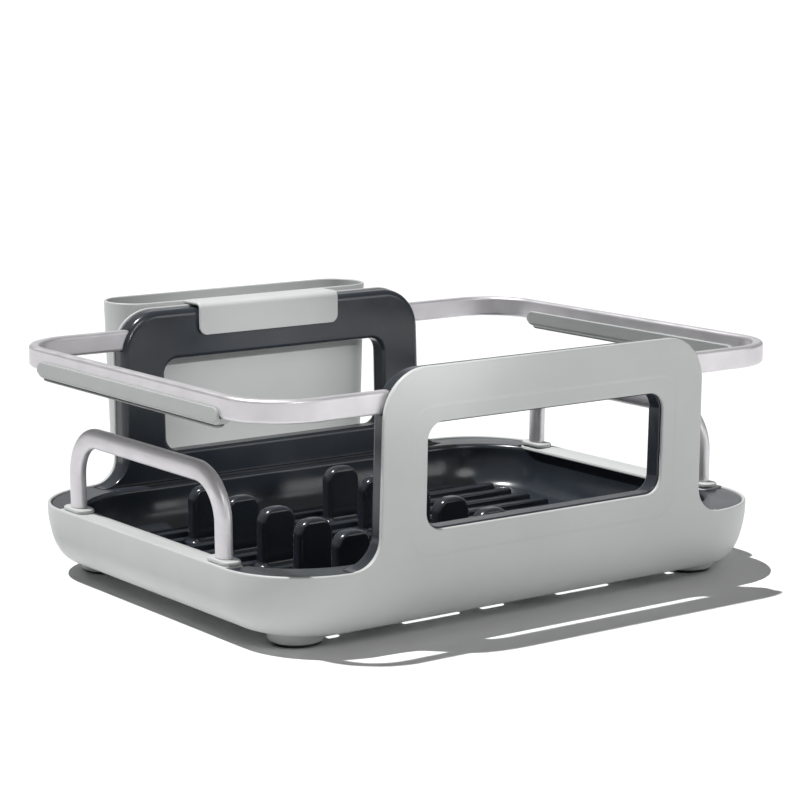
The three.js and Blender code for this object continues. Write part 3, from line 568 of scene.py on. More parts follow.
RIB_PITCH = 22.5
RIB_HALF = 176.0
SLOT_WIDTH, SLOT_ROWS, SIDE_SLOT_Y, SLOT_END_GAP = 8.0, 8, 120.0, 10.0
TINE_ROW_X = {"left": -104.0, "right": 13.0}
TINE_CLEAR = 24.0
SLOTS = [(left, right, SLOT_ROWS, RIB_PITCH) for left, right in (
    (-RIB_HALF + SLOT_END_GAP, TINE_ROW_X["left"] - TINE_CLEAR),
    (TINE_ROW_X["left"] + TINE_CLEAR, TINE_ROW_X["right"] - TINE_CLEAR),
    (TINE_ROW_X["right"] + TINE_CLEAR, RIB_HALF - SLOT_END_GAP))]
SLOTS += [(left, right, 2, 2 * SIDE_SLOT_Y) for left, right in (
    (-157, -140), (-92, -42), (-27, -4), (39, 89), (140, 157))]
outside = bowl_rings(HALF_LENGTH, HALF_DEPTH, RIM_CORNER, RIM_Z - WALL / 2, BOWL_FLOOR_Z,
                     BOWL_END_INSET, BOWL_FRONT_INSET, 28)
over_rim = [round_rect(HALF_LENGTH - inset, HALF_DEPTH - inset, RIM_CORNER - inset, z)
            for inset, z in [(WALL / 2 * (1 - c), RIM_Z - WALL / 2 + WALL / 2 * s)
                             for c, s in turns(15, 180, 15)]]
inside = bowl_rings(HALF_LENGTH - WALL, HALF_DEPTH - WALL, RIM_CORNER - WALL, RIM_Z - WALL / 2,
                    BOWL_FLOOR_Z + WALL, BOWL_END_INSET, BOWL_FRONT_INSET, 28)
bowl = make_object("shell_bowl", *loft(outside + over_rim + list(reversed(inside))))
cut_away(bowl, merge("slot_cutters", drain_cutters(
    "slot", BOWL_FLOOR_Z - CUT_BELOW_BOWL, BOWL_FLOOR_Z + WALL + CUT_PAST)))
print("bowl", len(bowl.data.vertices), "points")

# %% [markdown]
# ## The uprights
# Each upright is a light panel with a dark frame behind it. Both share one outline: straight
# sides that spread a little, round top corners, and feet that sweep out to the rim. Asking
# for the outline at an inset gives the rings of a soft edge.

# %% The outline of an upright
UPRIGHT_TOP, UPRIGHT_HALF_TOP = 178.0, 134.0
UPRIGHT_TAPER, UPRIGHT_LEAN = 0.013, 0.028
UPRIGHT_CORNER, FOOT_SWEEP = 32.0, 19.0
WINDOW_HALF, WINDOW_LOW, WINDOW_HIGH, WINDOW_CORNER = 99.5, 71.2, 141.5, 12.0


def arc(cx, cz, radius, start, end, steps):
    return [(cx + radius * math.cos(math.radians(start + (end - start) * k / steps)),
             cz + radius * math.sin(math.radians(start + (end - start) * k / steps)))
            for k in range(steps + 1)]


def upright_outline(inset, base, root, steps=16):
    """Points (x, z) round an upright, from the middle of the left foot's sole."""
    top = UPRIGHT_TOP - inset
    sweep, corner = FOOT_SWEEP + inset, UPRIGHT_CORNER - inset

    def half_width(z):
        return UPRIGHT_HALF_TOP - inset + UPRIGHT_TAPER * (top - z)

    foot_x = half_width(base + sweep) + sweep
    corner_x = half_width(top - corner) - corner
    right = [(foot_x, base - root)] + arc(foot_x, base + sweep, sweep, -90, -180, steps)
    right += arc(corner_x, top - corner, corner, 0, 90, steps)
    return right + [(-x, z) for x, z in reversed(right)]


def window_outline(inset, steps=10):
    half, corner = WINDOW_HALF - inset, WINDOW_CORNER - inset
    low, high = WINDOW_LOW + inset, WINDOW_HIGH - inset
    middle = (low + high) / 2
    return [(x, y + middle) for x, y, _ in
            round_rect(half, (high - low) / 2, corner, 0, steps)]


# %% [markdown]
# The plate with a window is made ring by ring: walls between the rings, then flat faces that
# are cut into triangles round the hole. The whole plate leans outwards above the rim.

# %% Build a plate with a window
def plate_faces(bands, flats):
    """bands: lists of rings to join. flats: groups of closed outlines to fill, holes after."""
    verts, faces = [], []

    def put(ring):
        verts.extend(ring)
        return list(range(len(verts) - len(ring), len(verts)))

    for band in bands:
        rows = [put(ring) for ring in band]
        for low, high in zip(rows, rows[1:]):
            for k in range(len(low)):
                n = (k + 1) % len(low)
                faces.append((low[k], low[n], high[n], high[k]))
    for group in flats:
        index = [i for ring in group for i in put(ring)]
        flat = [[Vector((x, z, 0)) for x, _, z in ring] for ring in group]
        for a, b, c in tessellate_polygon(flat):
            faces.append((index[a], index[b], index[c]))
    return verts, faces


def lean_out(verts, side):
    return [(x, side * (y + UPRIGHT_LEAN * max(0.0, z - RIM_Z)), z) for x, y, z in verts]


def at_depth(outline, y):
    return [(x, y, z) for x, z in outline]


# %% [markdown]
# On the real rack the light panel has soft outer edges, a rolled edge round the window, and a
# very shallow step some way outside the window. The step is a real slope here, 0.35 mm deep.

# %% The light panels
PANEL_OUT, PANEL_IN = HALF_DEPTH, HALF_DEPTH - 3.0
STEP_HALF, STEP_LOW, STEP_HIGH, STEP_CORNER = 112.0, 53.2, 154.0, 15.0
STEP_DEPTH, STEP_SLOPE = 0.35, 3.0
PANEL_EDGE, PANEL_BACK_EDGE, PANEL_ROOT = 1.3, 0.4, 1.3


def step_outline(inset):
    middle, tall = (STEP_LOW + STEP_HIGH) / 2, (STEP_HIGH - STEP_LOW) / 2
    return [(x, y + middle) for x, y, _ in
            round_rect(STEP_HALF - inset, tall - inset, STEP_CORNER - inset, 0, 12)]


def light_panel(name, side):
    outer = [at_depth(upright_outline(PANEL_BACK_EDGE, RIM_Z, PANEL_ROOT), PANEL_IN)]
    outer.append(at_depth(upright_outline(0, RIM_Z, PANEL_ROOT), PANEL_IN + PANEL_BACK_EDGE))
    hole = [at_depth(window_outline(-PANEL_BACK_EDGE), PANEL_IN)]
    hole.append(at_depth(window_outline(0), PANEL_IN + PANEL_BACK_EDGE))
    for step in range(7):
        a = math.radians(90 * step / 6)
        inset, rise = PANEL_EDGE * (1 - math.cos(a)), PANEL_EDGE * math.sin(a)
        outer.append(at_depth(upright_outline(inset, RIM_Z, PANEL_ROOT),
                              PANEL_OUT - PANEL_EDGE + rise))
        hole.append(at_depth(window_outline(-inset), PANEL_OUT - STEP_DEPTH - PANEL_EDGE + rise))
    ledge = [at_depth(step_outline(STEP_SLOPE * t), PANEL_OUT - STEP_DEPTH * t * t * (3 - 2 * t))
             for t in (0, 0.17, 0.33, 0.5, 0.67, 0.83, 1)]
    verts, faces = plate_faces(
        [outer, hole, ledge],
        [(outer[0], hole[0]), (outer[-1], ledge[0]), (ledge[-1], hole[-1])])
    return make_object(name, lean_out(verts, side), faces)


# %% [markdown]
# The two long sides of the bowl carry flat lips that roll gently inwards. They hold the
# handles and cover the edge of the tray.

# %% The side lips
LIP_IN, LIP_CREST, LIP_HALF, LIP_LOW, LIP_DROP, LIP_END = 197.0, 205.0, 107.5, 49.0, 1.5, 7.0
LIP_BITE, LIP_UNDER_RIM, LIP_EDGE, LIP_EDGE_DROP = 1.6, 0.02, 0.5, 0.2


def side_lip(name, side):
    """A lip with rounded inner corners, on the right for side 1."""
    outer_x, top = HALF_LENGTH - LIP_BITE, RIM_Z - LIP_UNDER_RIM
    ends = [(-LIP_HALF + LIP_END * (1 - c), LIP_END * (1 - s)) for c, s in turns(0, 91, 10)]
    rings = []
    for y, shift in ends + [(-y, shift) for y, shift in reversed(ends)]:
        inner = LIP_IN + shift
        ring = [(outer_x, y, LIP_LOW), (outer_x, y, top)]
        for k in range(7):
            t = k / 6
            x = max(LIP_CREST + (inner - LIP_CREST) * t, inner)
            fall = LIP_DROP * t * t * (3 - 2 * t) if LIP_CREST > inner else 0.0
            ring.append((x, y, top - fall))
        edge_z = ring[-1][2]
        for c, s in turns(30, 91, 30):
            ring.append((inner - LIP_EDGE + LIP_EDGE * c, y, edge_z - LIP_EDGE * s - LIP_EDGE_DROP))
        ring.append((inner - LIP_EDGE, y, LIP_LOW))
        rings.append([(side * px, py, pz) for px, py, pz in ring])
    return make_object(name, *loft(rings))


# %% [markdown]
# Panels and lips are welded to the bowl, since all of it is one moulding. The weld keeps the
# skin closed, with no wall left inside it.

# %% Weld the shell together
for part in (side_lip("lip_left", -1), side_lip("lip_right", 1),
             light_panel("panel_front", -1), light_panel("panel_back", 1)):
    weld_on(bowl, part)
bowl.name = "outer_bowl"
shade(bowl)
finish_piece(bowl, shell_plastic, "rack", "light_shell_plastic", "outer_shell")

# %% [markdown]
# ## The dark frames
# Behind each panel stands a thick dark frame. Its edge towards the tray is rolled over
# generously, which is where the long highlights come from. The arms slide in a channel that
# is cut along its outer side.

# %% Make the dark frames
FRAME_OUT, FRAME_IN = PANEL_IN - 0.3, PANEL_IN - 0.3 - 12.5
FRAME_INSET, FRAME_BASE, FRAME_ROLL, FRAME_WINDOW_ROLL = 1.0, 51.1, 5.0, 3.0
FRAME_BACK_EDGE = 0.4
ARM_TOP, ARM_TALL, ARM_THICK, ARM_OUT_Y, ARM_OUT_X = 164.6, 15.0, 7.6, 165.2, 222.0
CHANNEL_GAP = 0.4


def box_object(name, low, high):
    (x0, y0, z0), (x1, y1, z1) = low, high
    rings = [[(x0, y0, z), (x1, y0, z), (x1, y1, z), (x0, y1, z)] for z in (z0, z1)]
    return make_object(name, *loft(rings))


def dark_frame(name, side):
    outer, hole = [], []
    for step in range(11):
        a = math.radians(90 * step / 10)
        roll, rise = FRAME_ROLL * (1 - math.sin(a)), FRAME_ROLL * (1 - math.cos(a))
        outer.append(at_depth(upright_outline(FRAME_INSET + roll, FRAME_BASE, 0), FRAME_IN + rise))
        roll, rise = FRAME_WINDOW_ROLL * (1 - math.sin(a)), FRAME_WINDOW_ROLL * (1 - math.cos(a))
        hole.append(at_depth(window_outline(FRAME_INSET - roll), FRAME_IN + rise))
    for inset, y in ((0, FRAME_OUT - FRAME_BACK_EDGE), (FRAME_BACK_EDGE, FRAME_OUT)):
        outer.append(at_depth(upright_outline(FRAME_INSET + inset, FRAME_BASE, 0), y))
        hole.append(at_depth(window_outline(FRAME_INSET - inset), y))
    verts, faces = plate_faces([outer, hole], [(outer[0], hole[0]), (outer[-1], hole[-1])])
    made = make_object(name, lean_out(verts, side), faces)
    y0, y1 = sorted((side * (ARM_OUT_Y - ARM_THICK - CHANNEL_GAP), side * (HALF_DEPTH + 10)))
    channel = box_object("channel", (-HALF_LENGTH, y0, ARM_TOP - ARM_TALL - CHANNEL_GAP),
                         (HALF_LENGTH, y1, ARM_TOP + CHANNEL_GAP))
    return shade(cut_away(made, channel))


for name, side in (("front", -1), ("back", 1)):
    finish_piece(dark_frame(f"{name}_frame", side), tray_plastic, "rack", "dark_tray_plastic",
                 f"{name}_inner_frame")

# %% [markdown]
# ## The tray
# The dark tray hangs inside the bowl. It has a flat flange, an opening with a rolled edge, and
# walls that curve down to a floor with ribs and drain slots. One loft makes it: up the
# underside, round the flange and down the inside.

# %% Make the tray
FLANGE_TOP, TRAY_WALL = 50.8, 2.5
BASIN_HALF_X, BASIN_HALF_Y, BASIN_CORNER, BASIN_FLOOR = 199.0, 141.0, 60.0, 18.0
BASIN_END_INSET, BASIN_FRONT_INSET, BASIN_ROLL = 18.0, 16.0, 3.5
FLANGE_X, FLANGE_Y, FLANGE_CORNER = 212.1, 164.1, 57.1
LIP_ROOM_IN, LIP_ROOM_OUT, LIP_ROOM_HALF = 196.6, 216, 107.9
LIP_ROOM_LOW, LIP_ROOM_HIGH = 48.0, 56.0
under = bowl_rings(BASIN_HALF_X + TRAY_WALL, BASIN_HALF_Y + TRAY_WALL, BASIN_CORNER + TRAY_WALL,
                   FLANGE_TOP - TRAY_WALL, BASIN_FLOOR - TRAY_WALL,
                   BASIN_END_INSET, BASIN_FRONT_INSET, 18)
flange = [round_rect(FLANGE_X - i, FLANGE_Y - i, FLANGE_CORNER - i, FLANGE_TOP - drop)
          for i, drop in ((0, TRAY_WALL), (0, 0.5), (0.15, 0.15), (0.5, 0))]
rolled = [round_rect(BASIN_HALF_X + BASIN_ROLL - i, BASIN_HALF_Y + BASIN_ROLL - i,
                     BASIN_CORNER + BASIN_ROLL - i,
                     FLANGE_TOP - BASIN_ROLL + math.sqrt(BASIN_ROLL ** 2 - i ** 2))
          for i in [BASIN_ROLL * s for _, s in turns(0, 90, 10)]]
basin = bowl_rings(BASIN_HALF_X, BASIN_HALF_Y, BASIN_CORNER, FLANGE_TOP - BASIN_ROLL, BASIN_FLOOR,
                   BASIN_END_INSET, BASIN_FRONT_INSET, 24)
tray = make_object("dark_tray", *loft(under + flange + rolled + list(reversed(basin))))
lip_rooms = []
for side in (-1, 1):
    near, far = sorted((side * LIP_ROOM_IN, side * LIP_ROOM_OUT))
    lip_rooms.append(box_object(f"lip_room_{side}", (near, -LIP_ROOM_HALF, LIP_ROOM_LOW),
                                (far, LIP_ROOM_HALF, LIP_ROOM_HIGH)))
drains = drain_cutters("drain", BASIN_FLOOR - TRAY_WALL - CUT_PAST, BASIN_FLOOR + CUT_PAST)
cut_away(tray, merge("tray_cutters", lip_rooms + drains))
shade(tray)

# %% [markdown]
# The ribs are low bars with rounded backs. Every second row is broken where the tines stand,
# so one bar is laid out four times: whole rows, and three columns of short rows.

# %% Lay out the ribs
RIB_WIDE, RIB_TALL, RIB_ROLL, RIB_SINK = 7.0, 4.5, 2.2, 1.0
WHOLE_RIBS, BROKEN_RIBS = 6, 5


def rib_bar(name, left, right):
    half = (right - left) / 2
    levels = [(0, BASIN_FLOOR - RIB_SINK)]
    levels += [(RIB_ROLL * (1 - c), BASIN_FLOOR + RIB_TALL - RIB_ROLL + RIB_ROLL * s)
               for c, s in turns(0, 91, 15)]
    rings = [[(x + (left + right) / 2, y, z) for x, y, z in
              round_rect(half - i, RIB_WIDE / 2 - i, RIB_WIDE / 2 - SLIVER - i, z, 6)]
             for i, z in levels]
    return make_object(name, *loft(rings))


RIB_BREAK = 18.6
broken = [(-RIB_HALF, TINE_ROW_X["left"] - RIB_BREAK),
          (TINE_ROW_X["left"] + RIB_BREAK, TINE_ROW_X["right"] - RIB_BREAK),
          (TINE_ROW_X["right"] + RIB_BREAK, RIB_HALF)]
bars = [on_grid(rib_bar("rib_whole", -RIB_HALF, RIB_HALF), tray_plastic,
                rows=WHOLE_RIBS, row_pitch=2 * RIB_PITCH)]
bars += [on_grid(rib_bar(f"rib_short_{k}", a, b), tray_plastic,
                 rows=BROKEN_RIBS, row_pitch=2 * RIB_PITCH)
         for k, (a, b) in enumerate(broken)]
finish_piece(tray, tray_plastic, "rack", "dark_tray_plastic", "inner_tray")
ribs = shade(merge("tray_ribs", bars), 50)
finish_piece(ribs, tray_plastic, "rack", "dark_tray_plastic")

# %% [markdown]
# ## The tines
# A tine is a thick tongue with a round top and a foot that flares out into the tray. Its
# section changes with height, so it is a loft again, and the node tree stands five in a row.

# %% Make the tines
TINE_HALF_X, TINE_HALF_Y, TINE_TALL = 14.0, 5.5, 40.5
TINE_ARCH, TINE_EDGE, TINE_FLARE = 11.0, 3.6, 4.0
TINE_FOOT = BASIN_FLOOR + 0.3
TINE_PITCH, TINES_IN_ROW = 45.0, 5


def tine_ring(z):
    top = TINE_FOOT + TINE_TALL
    over_arch = max(0.0, z - (top - TINE_ARCH))
    over_edge = max(0.0, z - (top - TINE_EDGE))
    half_x = TINE_HALF_X - TINE_ARCH + math.sqrt(max(0.0, TINE_ARCH ** 2 - over_arch ** 2))
    half_y = TINE_HALF_Y - TINE_EDGE + math.sqrt(max(0.0, TINE_EDGE ** 2 - over_edge ** 2))
    up = min(1.0, (z - TINE_FOOT) / TINE_FLARE)
    flare = (TINE_FLARE - 0.15) * (1 - math.sqrt(max(0.0, 1 - (1 - up) ** 2)))
    edge = min(TINE_EDGE + flare, half_y + flare - SLIVER, half_x + flare - SLIVER)
    return round_rect(half_x + flare, half_y + flare, edge, z, 6)


tine_levels = [TINE_FOOT + TINE_FLARE * (1 - c) for c, _ in turns(0, 91, 15)]
tine_levels += [TINE_FOOT + TINE_TALL - TINE_ARCH + TINE_ARCH * s for _, s in turns(0, 91, 6)]
for row, x in TINE_ROW_X.items():
    rings = [[(px + x, py, pz) for px, py, pz in tine_ring(z)] for z in tine_levels]
    tines = on_grid(make_object(f"{row}_tines", *loft(rings)), tray_plastic,
                    rows=TINES_IN_ROW, row_pitch=TINE_PITCH)
    shade(tines, 40)
    finish_piece(tines, tray_plastic, "rack", "dark_tray_plastic",
                 *[f"{row}_tine_{k + 1}" for k in range(TINES_IN_ROW)])

# %% [markdown]
# ## The arms
# Each arm is one aluminium bar bent into a wide U. Its section is swept along the middle line
# of the bar. The left arm is the right one turned half round.

# %% Sweep the arms
def section(half_u, half_v, radius, steps=5):
    return [(x, y) for x, y, _ in round_rect(half_u, half_v, radius, 0, steps)]


def sweep(profile, stations):
    """Rings of a profile at places along a path: each place has a point and two directions."""
    return [[tuple(point + across * u + up * v) for u, v in profile]
            for point, across, up in stations]


ARM_CORNER, ARM_START_X, ARM_EDGE = 45.0, 18.3, 2.4
UP = Vector((0, 0, 1))


def arm_stations(turned):
    half = ARM_THICK / 2
    middle_x, middle_y = ARM_OUT_X - half, ARM_OUT_Y - half
    bend = ARM_CORNER - half
    z = ARM_TOP - ARM_TALL / 2
    places = [(ARM_START_X, -middle_y, 0, -1)]
    for k in range(25):
        a = math.radians(-90 + 90 * k / 24)
        places.append((middle_x - bend + bend * math.cos(a), -middle_y + bend + bend * math.sin(a),
                       math.cos(a), math.sin(a)))
    places += [(x, -y, nx, -ny) for x, y, nx, ny in reversed(places)]
    sign = -1 if turned else 1
    return [(Vector((sign * x, sign * y, z)), Vector((sign * nx, sign * ny, 0)), UP)
            for x, y, nx, ny in places]


for name, turned in (("left", True), ("right", False)):
    rings = sweep(section(ARM_THICK / 2, ARM_TALL / 2, ARM_EDGE), arm_stations(turned))
    arm = shade(make_object(f"{name}_bar", *loft(rings)))
    finish_piece(arm, aluminium, f"{name}_arm_assembly", "satin_aluminium", f"{name}_arm")

# %% [markdown]
# A soft sleeve wraps the bottom of each arm where it rests on the sink. It is a channel with
# rounded ends, with a thin strip of darker rubber under it.

# %% Make the grips and their pads
GRIP_HALF, GRIP_WALL, GRIP_TOP, GRIP_LOW, GRIP_END = 117.0, 1.8, 156.3, 144.8, 6.0
GRIP_END_RISE, GRIP_FIT, GRIP_LIP, GRIP_ROLL = 0.75, 0.05, 0.8, 2.6


def grip_ring(y, sign):
    """The sleeve's section at y, with its height drawn in near the ends."""
    near = max(0.0, GRIP_END - (GRIP_HALF - abs(y)))
    pull = GRIP_END - math.sqrt(max(0.0, GRIP_END ** 2 - near ** 2))
    top, low = GRIP_TOP - pull, GRIP_LOW + GRIP_END_RISE * pull
    out_x, in_x = ARM_OUT_X + GRIP_WALL, ARM_OUT_X - ARM_THICK - GRIP_WALL
    bar_out, bar_in = ARM_OUT_X + GRIP_FIT, ARM_OUT_X - ARM_THICK - GRIP_FIT
    bar_z = ARM_TOP - ARM_TALL - GRIP_FIT
    roll = min(GRIP_ROLL, bar_z - low)
    points = arc(out_x - GRIP_LIP, top - GRIP_LIP, GRIP_LIP, 0, 90, 5)
    points += [(bar_out, top), (bar_out, bar_z), (bar_in, bar_z), (bar_in, top)]
    points += arc(in_x + GRIP_LIP, top - GRIP_LIP, GRIP_LIP, 90, 180, 5)
    points += arc(in_x + roll, low + roll, roll, 180, 270, 6)
    points += arc(out_x - roll, low + roll, roll, 270, 360, 6)
    return [(sign * x, y, z) for x, z in points]


def stadium(half_x, half_y, z, inset=0.0):
    return round_rect(half_x - inset, half_y - inset, min(half_x, half_y) - inset - SLIVER, z, 10)


PAD_MIDDLE_X = ARM_OUT_X - ARM_THICK / 2
PAD_LOW, PAD_HIGH, PAD_HALF_X, PAD_HALF_Y = 142.7, 144.5, 4.2, 113.0
ends = [GRIP_HALF - GRIP_END * (1 - s) for _, s in turns(0, 91, 10)]
for name, sign in (("left", -1), ("right", 1)):
    places = [-y for y in reversed(ends)] + ends
    grip = shade(make_object(f"{name}_grip", *loft([grip_ring(y, sign) for y in places])), 40)
    finish_piece(grip, grip_rubber, f"{name}_arm_assembly", "soft_grip", f"{name}_arm_grip")
    levels = [(2.2, PAD_LOW), (1.5, PAD_LOW + 0.15), (0.6, PAD_LOW + 0.7),
              (0, PAD_HIGH - 0.4), (0, PAD_HIGH)]
    rings = [[(x + sign * PAD_MIDDLE_X, y, z) for x, y, z in stadium(PAD_HALF_X, PAD_HALF_Y, z, i)]
             for i, z in levels]
    pad = shade(make_object(f"{name}_grip_pad", *loft(rings)), 40)
    finish_piece(pad, strip_rubber, f"{name}_arm_assembly", "non_slip_rubber",
                 f"{name}_arm_grip_pad")

# %% [markdown]
# ## The handles
# A handle is a flattened tube bent into an arch. Its section is a little fuller than an oval.

# %% Bend the handles
HANDLE_X, HANDLE_HALF, HANDLE_TOP, HANDLE_BEND, HANDLE_LEAN = 205.5, 94.3, 114.2, 30.0, 0.013
HANDLE_HALF_TALL, HANDLE_HALF_WIDE, HANDLE_FOOT, HANDLE_FULLNESS = 7.0, 4.75, 55.1, 0.85


def handle_section(steps=40):
    """A flattened oval. u runs out of the arch, v across the tube."""
    points = []
    for k in range(steps):
        a = 2 * math.pi * k / steps
        c, s = math.cos(a), math.sin(a)
        points.append((HANDLE_HALF_TALL * math.copysign(abs(c) ** HANDLE_FULLNESS, c),
                       HANDLE_HALF_WIDE * math.copysign(abs(s) ** HANDLE_FULLNESS, s)))
    return points


def handle_stations(side):
    centre_z = HANDLE_TOP - HANDLE_HALF_TALL
    places = [(-HANDLE_HALF, HANDLE_FOOT, -1, 0)]
    for k in range(21):
        a = math.radians(180 - 90 * k / 20)
        c, s = math.cos(a), math.sin(a)
        places.append((-HANDLE_HALF + HANDLE_BEND + HANDLE_BEND * c,
                       centre_z - HANDLE_BEND + HANDLE_BEND * s, c, s))
    places += [(-y, z, -ny, nz) for y, z, ny, nz in reversed(places)]
    return [(Vector((side * (HANDLE_X + HANDLE_LEAN * (z - HANDLE_FOOT)), y, z)),
             Vector((0, ny, nz)), Vector((1, 0, 0))) for y, z, ny, nz in places]


for name, side in (("left", -1), ("right", 1)):
    rings = sweep(handle_section(), handle_stations(side))
    handle = shade(make_object(f"{name}_handle_tube", *loft(rings)), 50)
    finish_piece(handle, aluminium, "rack", "satin_aluminium", f"{name}_handle")

# %% [markdown]
# Each leg of a handle stands on a thin oval plate. The four plates lie on one grid.

# %% Lay out the plates under the handles
BASE_LOW, BASE_HIGH, BASE_HALF_X, BASE_HALF_Y, BASE_ROLL = 52.3, 54.8, 7.0, 14.0, 1.2
levels = [(0.3, BASE_LOW), (0, BASE_LOW + 0.3)]
levels += [(BASE_ROLL * (1 - c), BASE_HIGH - BASE_ROLL + BASE_ROLL * s)
           for c, s in turns(0, 91, 18)]
rings = [stadium(BASE_HALF_X, BASE_HALF_Y, z, i) for i, z in levels]
plates = on_grid(make_object("handle_plates", *loft(rings)), shell_plastic,
                 2, 2, 2 * HANDLE_X, 2 * HANDLE_HALF)
finish_piece(shade(plates, 40), shell_plastic, "rack", "light_shell_plastic",
             *[f"{s}_handle_{e}_base" for s in ("left", "right") for e in ("front", "back")])

# %% [markdown]
# ## Feet and screws
# Four round feet with rubber pads, and the screws that hold the tray, are turned shapes. A
# turned shape is a loft through circles.

# %% Make the feet, their pads and the screws
def turned(profile, sides=48):
    """Rings of a turned shape from pairs of radius and height."""
    return [[(r * math.cos(2 * math.pi * k / sides), r * math.sin(2 * math.pi * k / sides), z)
             for k in range(sides)] for r, z in profile]


FOOT_X, FOOT_Y, FOOT_RADIUS, FOOT_ROLL = 168.7, 120.7, 17.0, 1.8
AT_FEET = {"columns": 2, "rows": 2, "column_pitch": 2 * FOOT_X, "row_pitch": 2 * FOOT_Y}
foot_profile = [(FOOT_RADIUS, FOOT_ROLL)]
foot_profile += [(FOOT_RADIUS + FOOT_ROLL * s, 2 * FOOT_ROLL - FOOT_ROLL * c)
                 for c, s in turns(15, 91, 15)]
foot_profile += [(18.8, 9.3), (18.4, 9.7)]
feet = on_grid(make_object("feet", *loft(turned(foot_profile))), shell_plastic, **AT_FEET)
foot_names = [f"{a}_{b}" for a in ("front", "back") for b in ("left", "right")]
finish_piece(shade(feet, 40), shell_plastic, "rack", "light_shell_plastic",
             *[f"foot_{n}" for n in foot_names])

pad_profile = [(1.0, 0.4), (3.0, 0.0), (5.0, 0.0), (5.6, 0.5), (6.4, 0.5), (7.0, 0.0),
               (9.5, 0.0), (10.1, 0.5), (10.9, 0.5), (11.5, 0.0), (15.9, 0.0), (16.5, 0.5),
               (16.5, 1.5)]
foot_pads = on_grid(make_object("foot_pads", *loft(turned(pad_profile))), pad_rubber, **AT_FEET)
finish_piece(shade(foot_pads, 35), pad_rubber, "rack", "non_slip_rubber",
             *[f"foot_pad_{n}" for n in foot_names])

# %% [markdown]
# The screw heads have a six-sided socket. The socket's rings are hexagons with as many points
# as the round ones, which keeps the loft simple.

# %% Make the tray screws
SCREW_SIDES = 24


def hexagon_ring(radius, z):
    ring = []
    for k in range(SCREW_SIDES):
        a = 2 * math.pi * k / SCREW_SIDES
        folded = (a % (math.pi / 3)) - math.pi / 6
        r = radius * math.cos(math.pi / 6) / math.cos(folded)
        ring.append((r * math.cos(a), r * math.sin(a), z))
    return ring


socket = [hexagon_ring(1.3, 8.9), hexagon_ring(1.5, 7.6)]
head = turned([(2.3, 7.5), (3.0, 7.75), (3.4, 8.3), (3.4, 9.7), (2.0, 9.7), (2.0, 16.0)],
              SCREW_SIDES)
screw_middle_x = sum(TINE_ROW_X.values()) / 2
screw_rings = [[(x + screw_middle_x, y, z) for x, y, z in ring] for ring in socket + head]
screws = on_grid(make_object("tray_screws", *loft(screw_rings)), screw_steel, 2, 2,
                 TINE_ROW_X["right"] - TINE_ROW_X["left"], 3 * TINE_PITCH)
finish_piece(shade(screws, 35), screw_steel, "rack", "screw_steel",
             *[f"tray_screw_{r}_{e}" for r in ("left", "right") for e in ("front", "back")])

# %% [markdown]
# ## The cutlery cup
# The cup is a deep narrow box with round ends, a thin wall and a rolled rim. A wide hook
# reaches from its rim over the upright and down the other side.

# %% Make the cup
CUP_X, CUP_HALF_X, CUP_HALF_Y = -7.5, 113.0, 24.0
CUP_TOP, CUP_LOW, CUP_CORNER, CUP_DRAFT, CUP_WALL, CUP_ROUND = 180.8, 62.0, 23.0, 0.028, 2.2, 6.0
CUP_GAP, CUP_DRAINS, DRAIN_HALF_X, DRAIN_HALF_Y = 2.5, 7, 3.0, 11.0
CUP_Y = HALF_DEPTH + UPRIGHT_LEAN * (UPRIGHT_TOP - RIM_Z) + CUP_GAP + CUP_HALF_Y


def cup_ring(z, inset):
    pull = CUP_DRAFT * (CUP_TOP - z) + inset
    ring = round_rect(CUP_HALF_X - pull, CUP_HALF_Y - pull, CUP_CORNER - pull, z, 14)
    return [(x + CUP_X, y + CUP_Y, zz) for x, y, zz in ring]


outer_cup = [cup_ring(CUP_LOW + CUP_ROUND * (1 - c), CUP_ROUND * (1 - s))
             for c, s in turns(0, 91, 10)]
rim_cup = [cup_ring(CUP_TOP - CUP_WALL / 2 + CUP_WALL / 2 * s, CUP_WALL / 2 * (1 - c))
           for c, s in turns(0, 181, 18)]
inner_round = CUP_ROUND - CUP_WALL / 2
inner_cup = [cup_ring(CUP_LOW + CUP_WALL + inner_round * (1 - c), CUP_WALL + inner_round * (1 - s))
             for c, s in turns(90, -1, -10)]
cup = make_object("cutlery_cup", *loft(outer_cup + rim_cup + inner_cup))
rings = [[(x + CUP_X, y + CUP_Y, z) for x, y, z in stadium(DRAIN_HALF_X, DRAIN_HALF_Y, level)]
         for level in (CUP_LOW - CUT_PAST, CUP_LOW + CUP_WALL + CUT_PAST)]
cut_away(cup, on_grid(make_object("cup_drain", *loft(rings)), None, columns=CUP_DRAINS,
                      column_pitch=(2 * CUP_HALF_X - 2 * CUP_CORNER) / CUP_DRAINS))

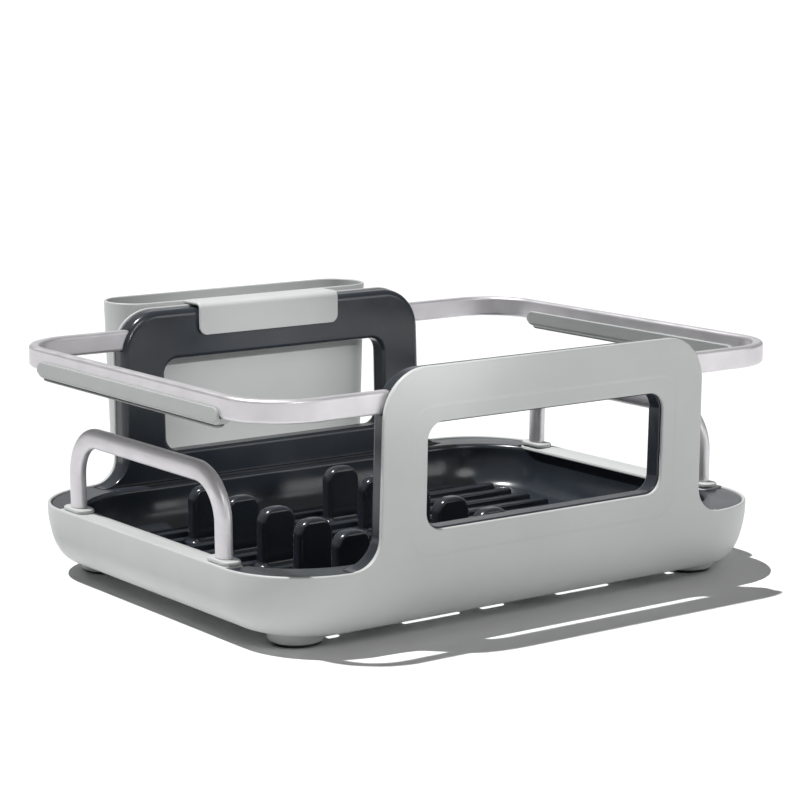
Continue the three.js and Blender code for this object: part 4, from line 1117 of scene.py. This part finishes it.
# %% [markdown]
# The hook is a strip of the same plastic, bent in two directions: over the top of the upright
# and down its face. The strip is swept along its bend, and its lower corners are rounded.

# %% Make the hook and weld it on
HOOK_HALF, HOOK_THICK, HOOK_LOW, HOOK_CORNER, HOOK_BEND = 62.0, 2.4, 156.8, 6.0, 3.4
FLAP_Y = FRAME_IN + UPRIGHT_LEAN * (HOOK_LOW - RIM_Z) - 0.7 - HOOK_THICK / 2
BRIDGE_Z = CUP_TOP - HOOK_THICK / 2 - 0.01
hook_path = [(CUP_Y - CUP_HALF_Y + CUP_WALL * 0.6, BRIDGE_Z, 0, 1, HOOK_HALF)]
for c, s in turns(90, 181, 9):
    hook_path.append((FLAP_Y + HOOK_BEND + HOOK_BEND * c, BRIDGE_Z - HOOK_BEND + HOOK_BEND * s,
                      c, s, HOOK_HALF))
for c, s in turns(0, 91, 10):
    hook_path.append((FLAP_Y, HOOK_LOW + HOOK_CORNER * (1 - s), -1, 0,
                      HOOK_HALF - HOOK_CORNER * (1 - c)))
rings = []
for index, (y, z, ny, nz, half) in enumerate(hook_path):
    thin = 0.55 if index == len(hook_path) - 1 else 1.0
    profile = section(half, HOOK_THICK / 2 * thin, 0.95 * thin, 4)
    rings.append([(CUP_X + u, y + ny * v, z + nz * v) for u, v in profile])
hook = make_object("cup_hook", *loft(rings))
weld_on(cup, hook)
shade(cup, 35)
finish_piece(cup, shell_plastic, "cup", "light_shell_plastic", "utensil_cup")

# %% [markdown]
# ## Pieces that stay as they are
# The screws inside the handles and the nylon glides in the uprights are simple and mostly
# hidden, so the solid model's own pieces stay and only take their finish.

# %% Finish the pieces that stay
for node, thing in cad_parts.items():
    if thing.hide_render:
        continue
    thing.data.materials.clear()
    thing.data.materials.append(glide_nylon if "glide" in node else screw_steel)
    print(node, "keeps its shape")

# %% [markdown]
# The right arm reaches out over the bare floor, where its shadow would lie as a loose stripe.
# This is a choice of look and not of physics: the arm is left out of the shadows.

# %% Leave the right arm out of the shadows
for name in ("right_bar", "right_grip", "right_grip_pad"):
    bpy.data.objects[name].visible_shadow = False
print("the right arm throws no shadow")
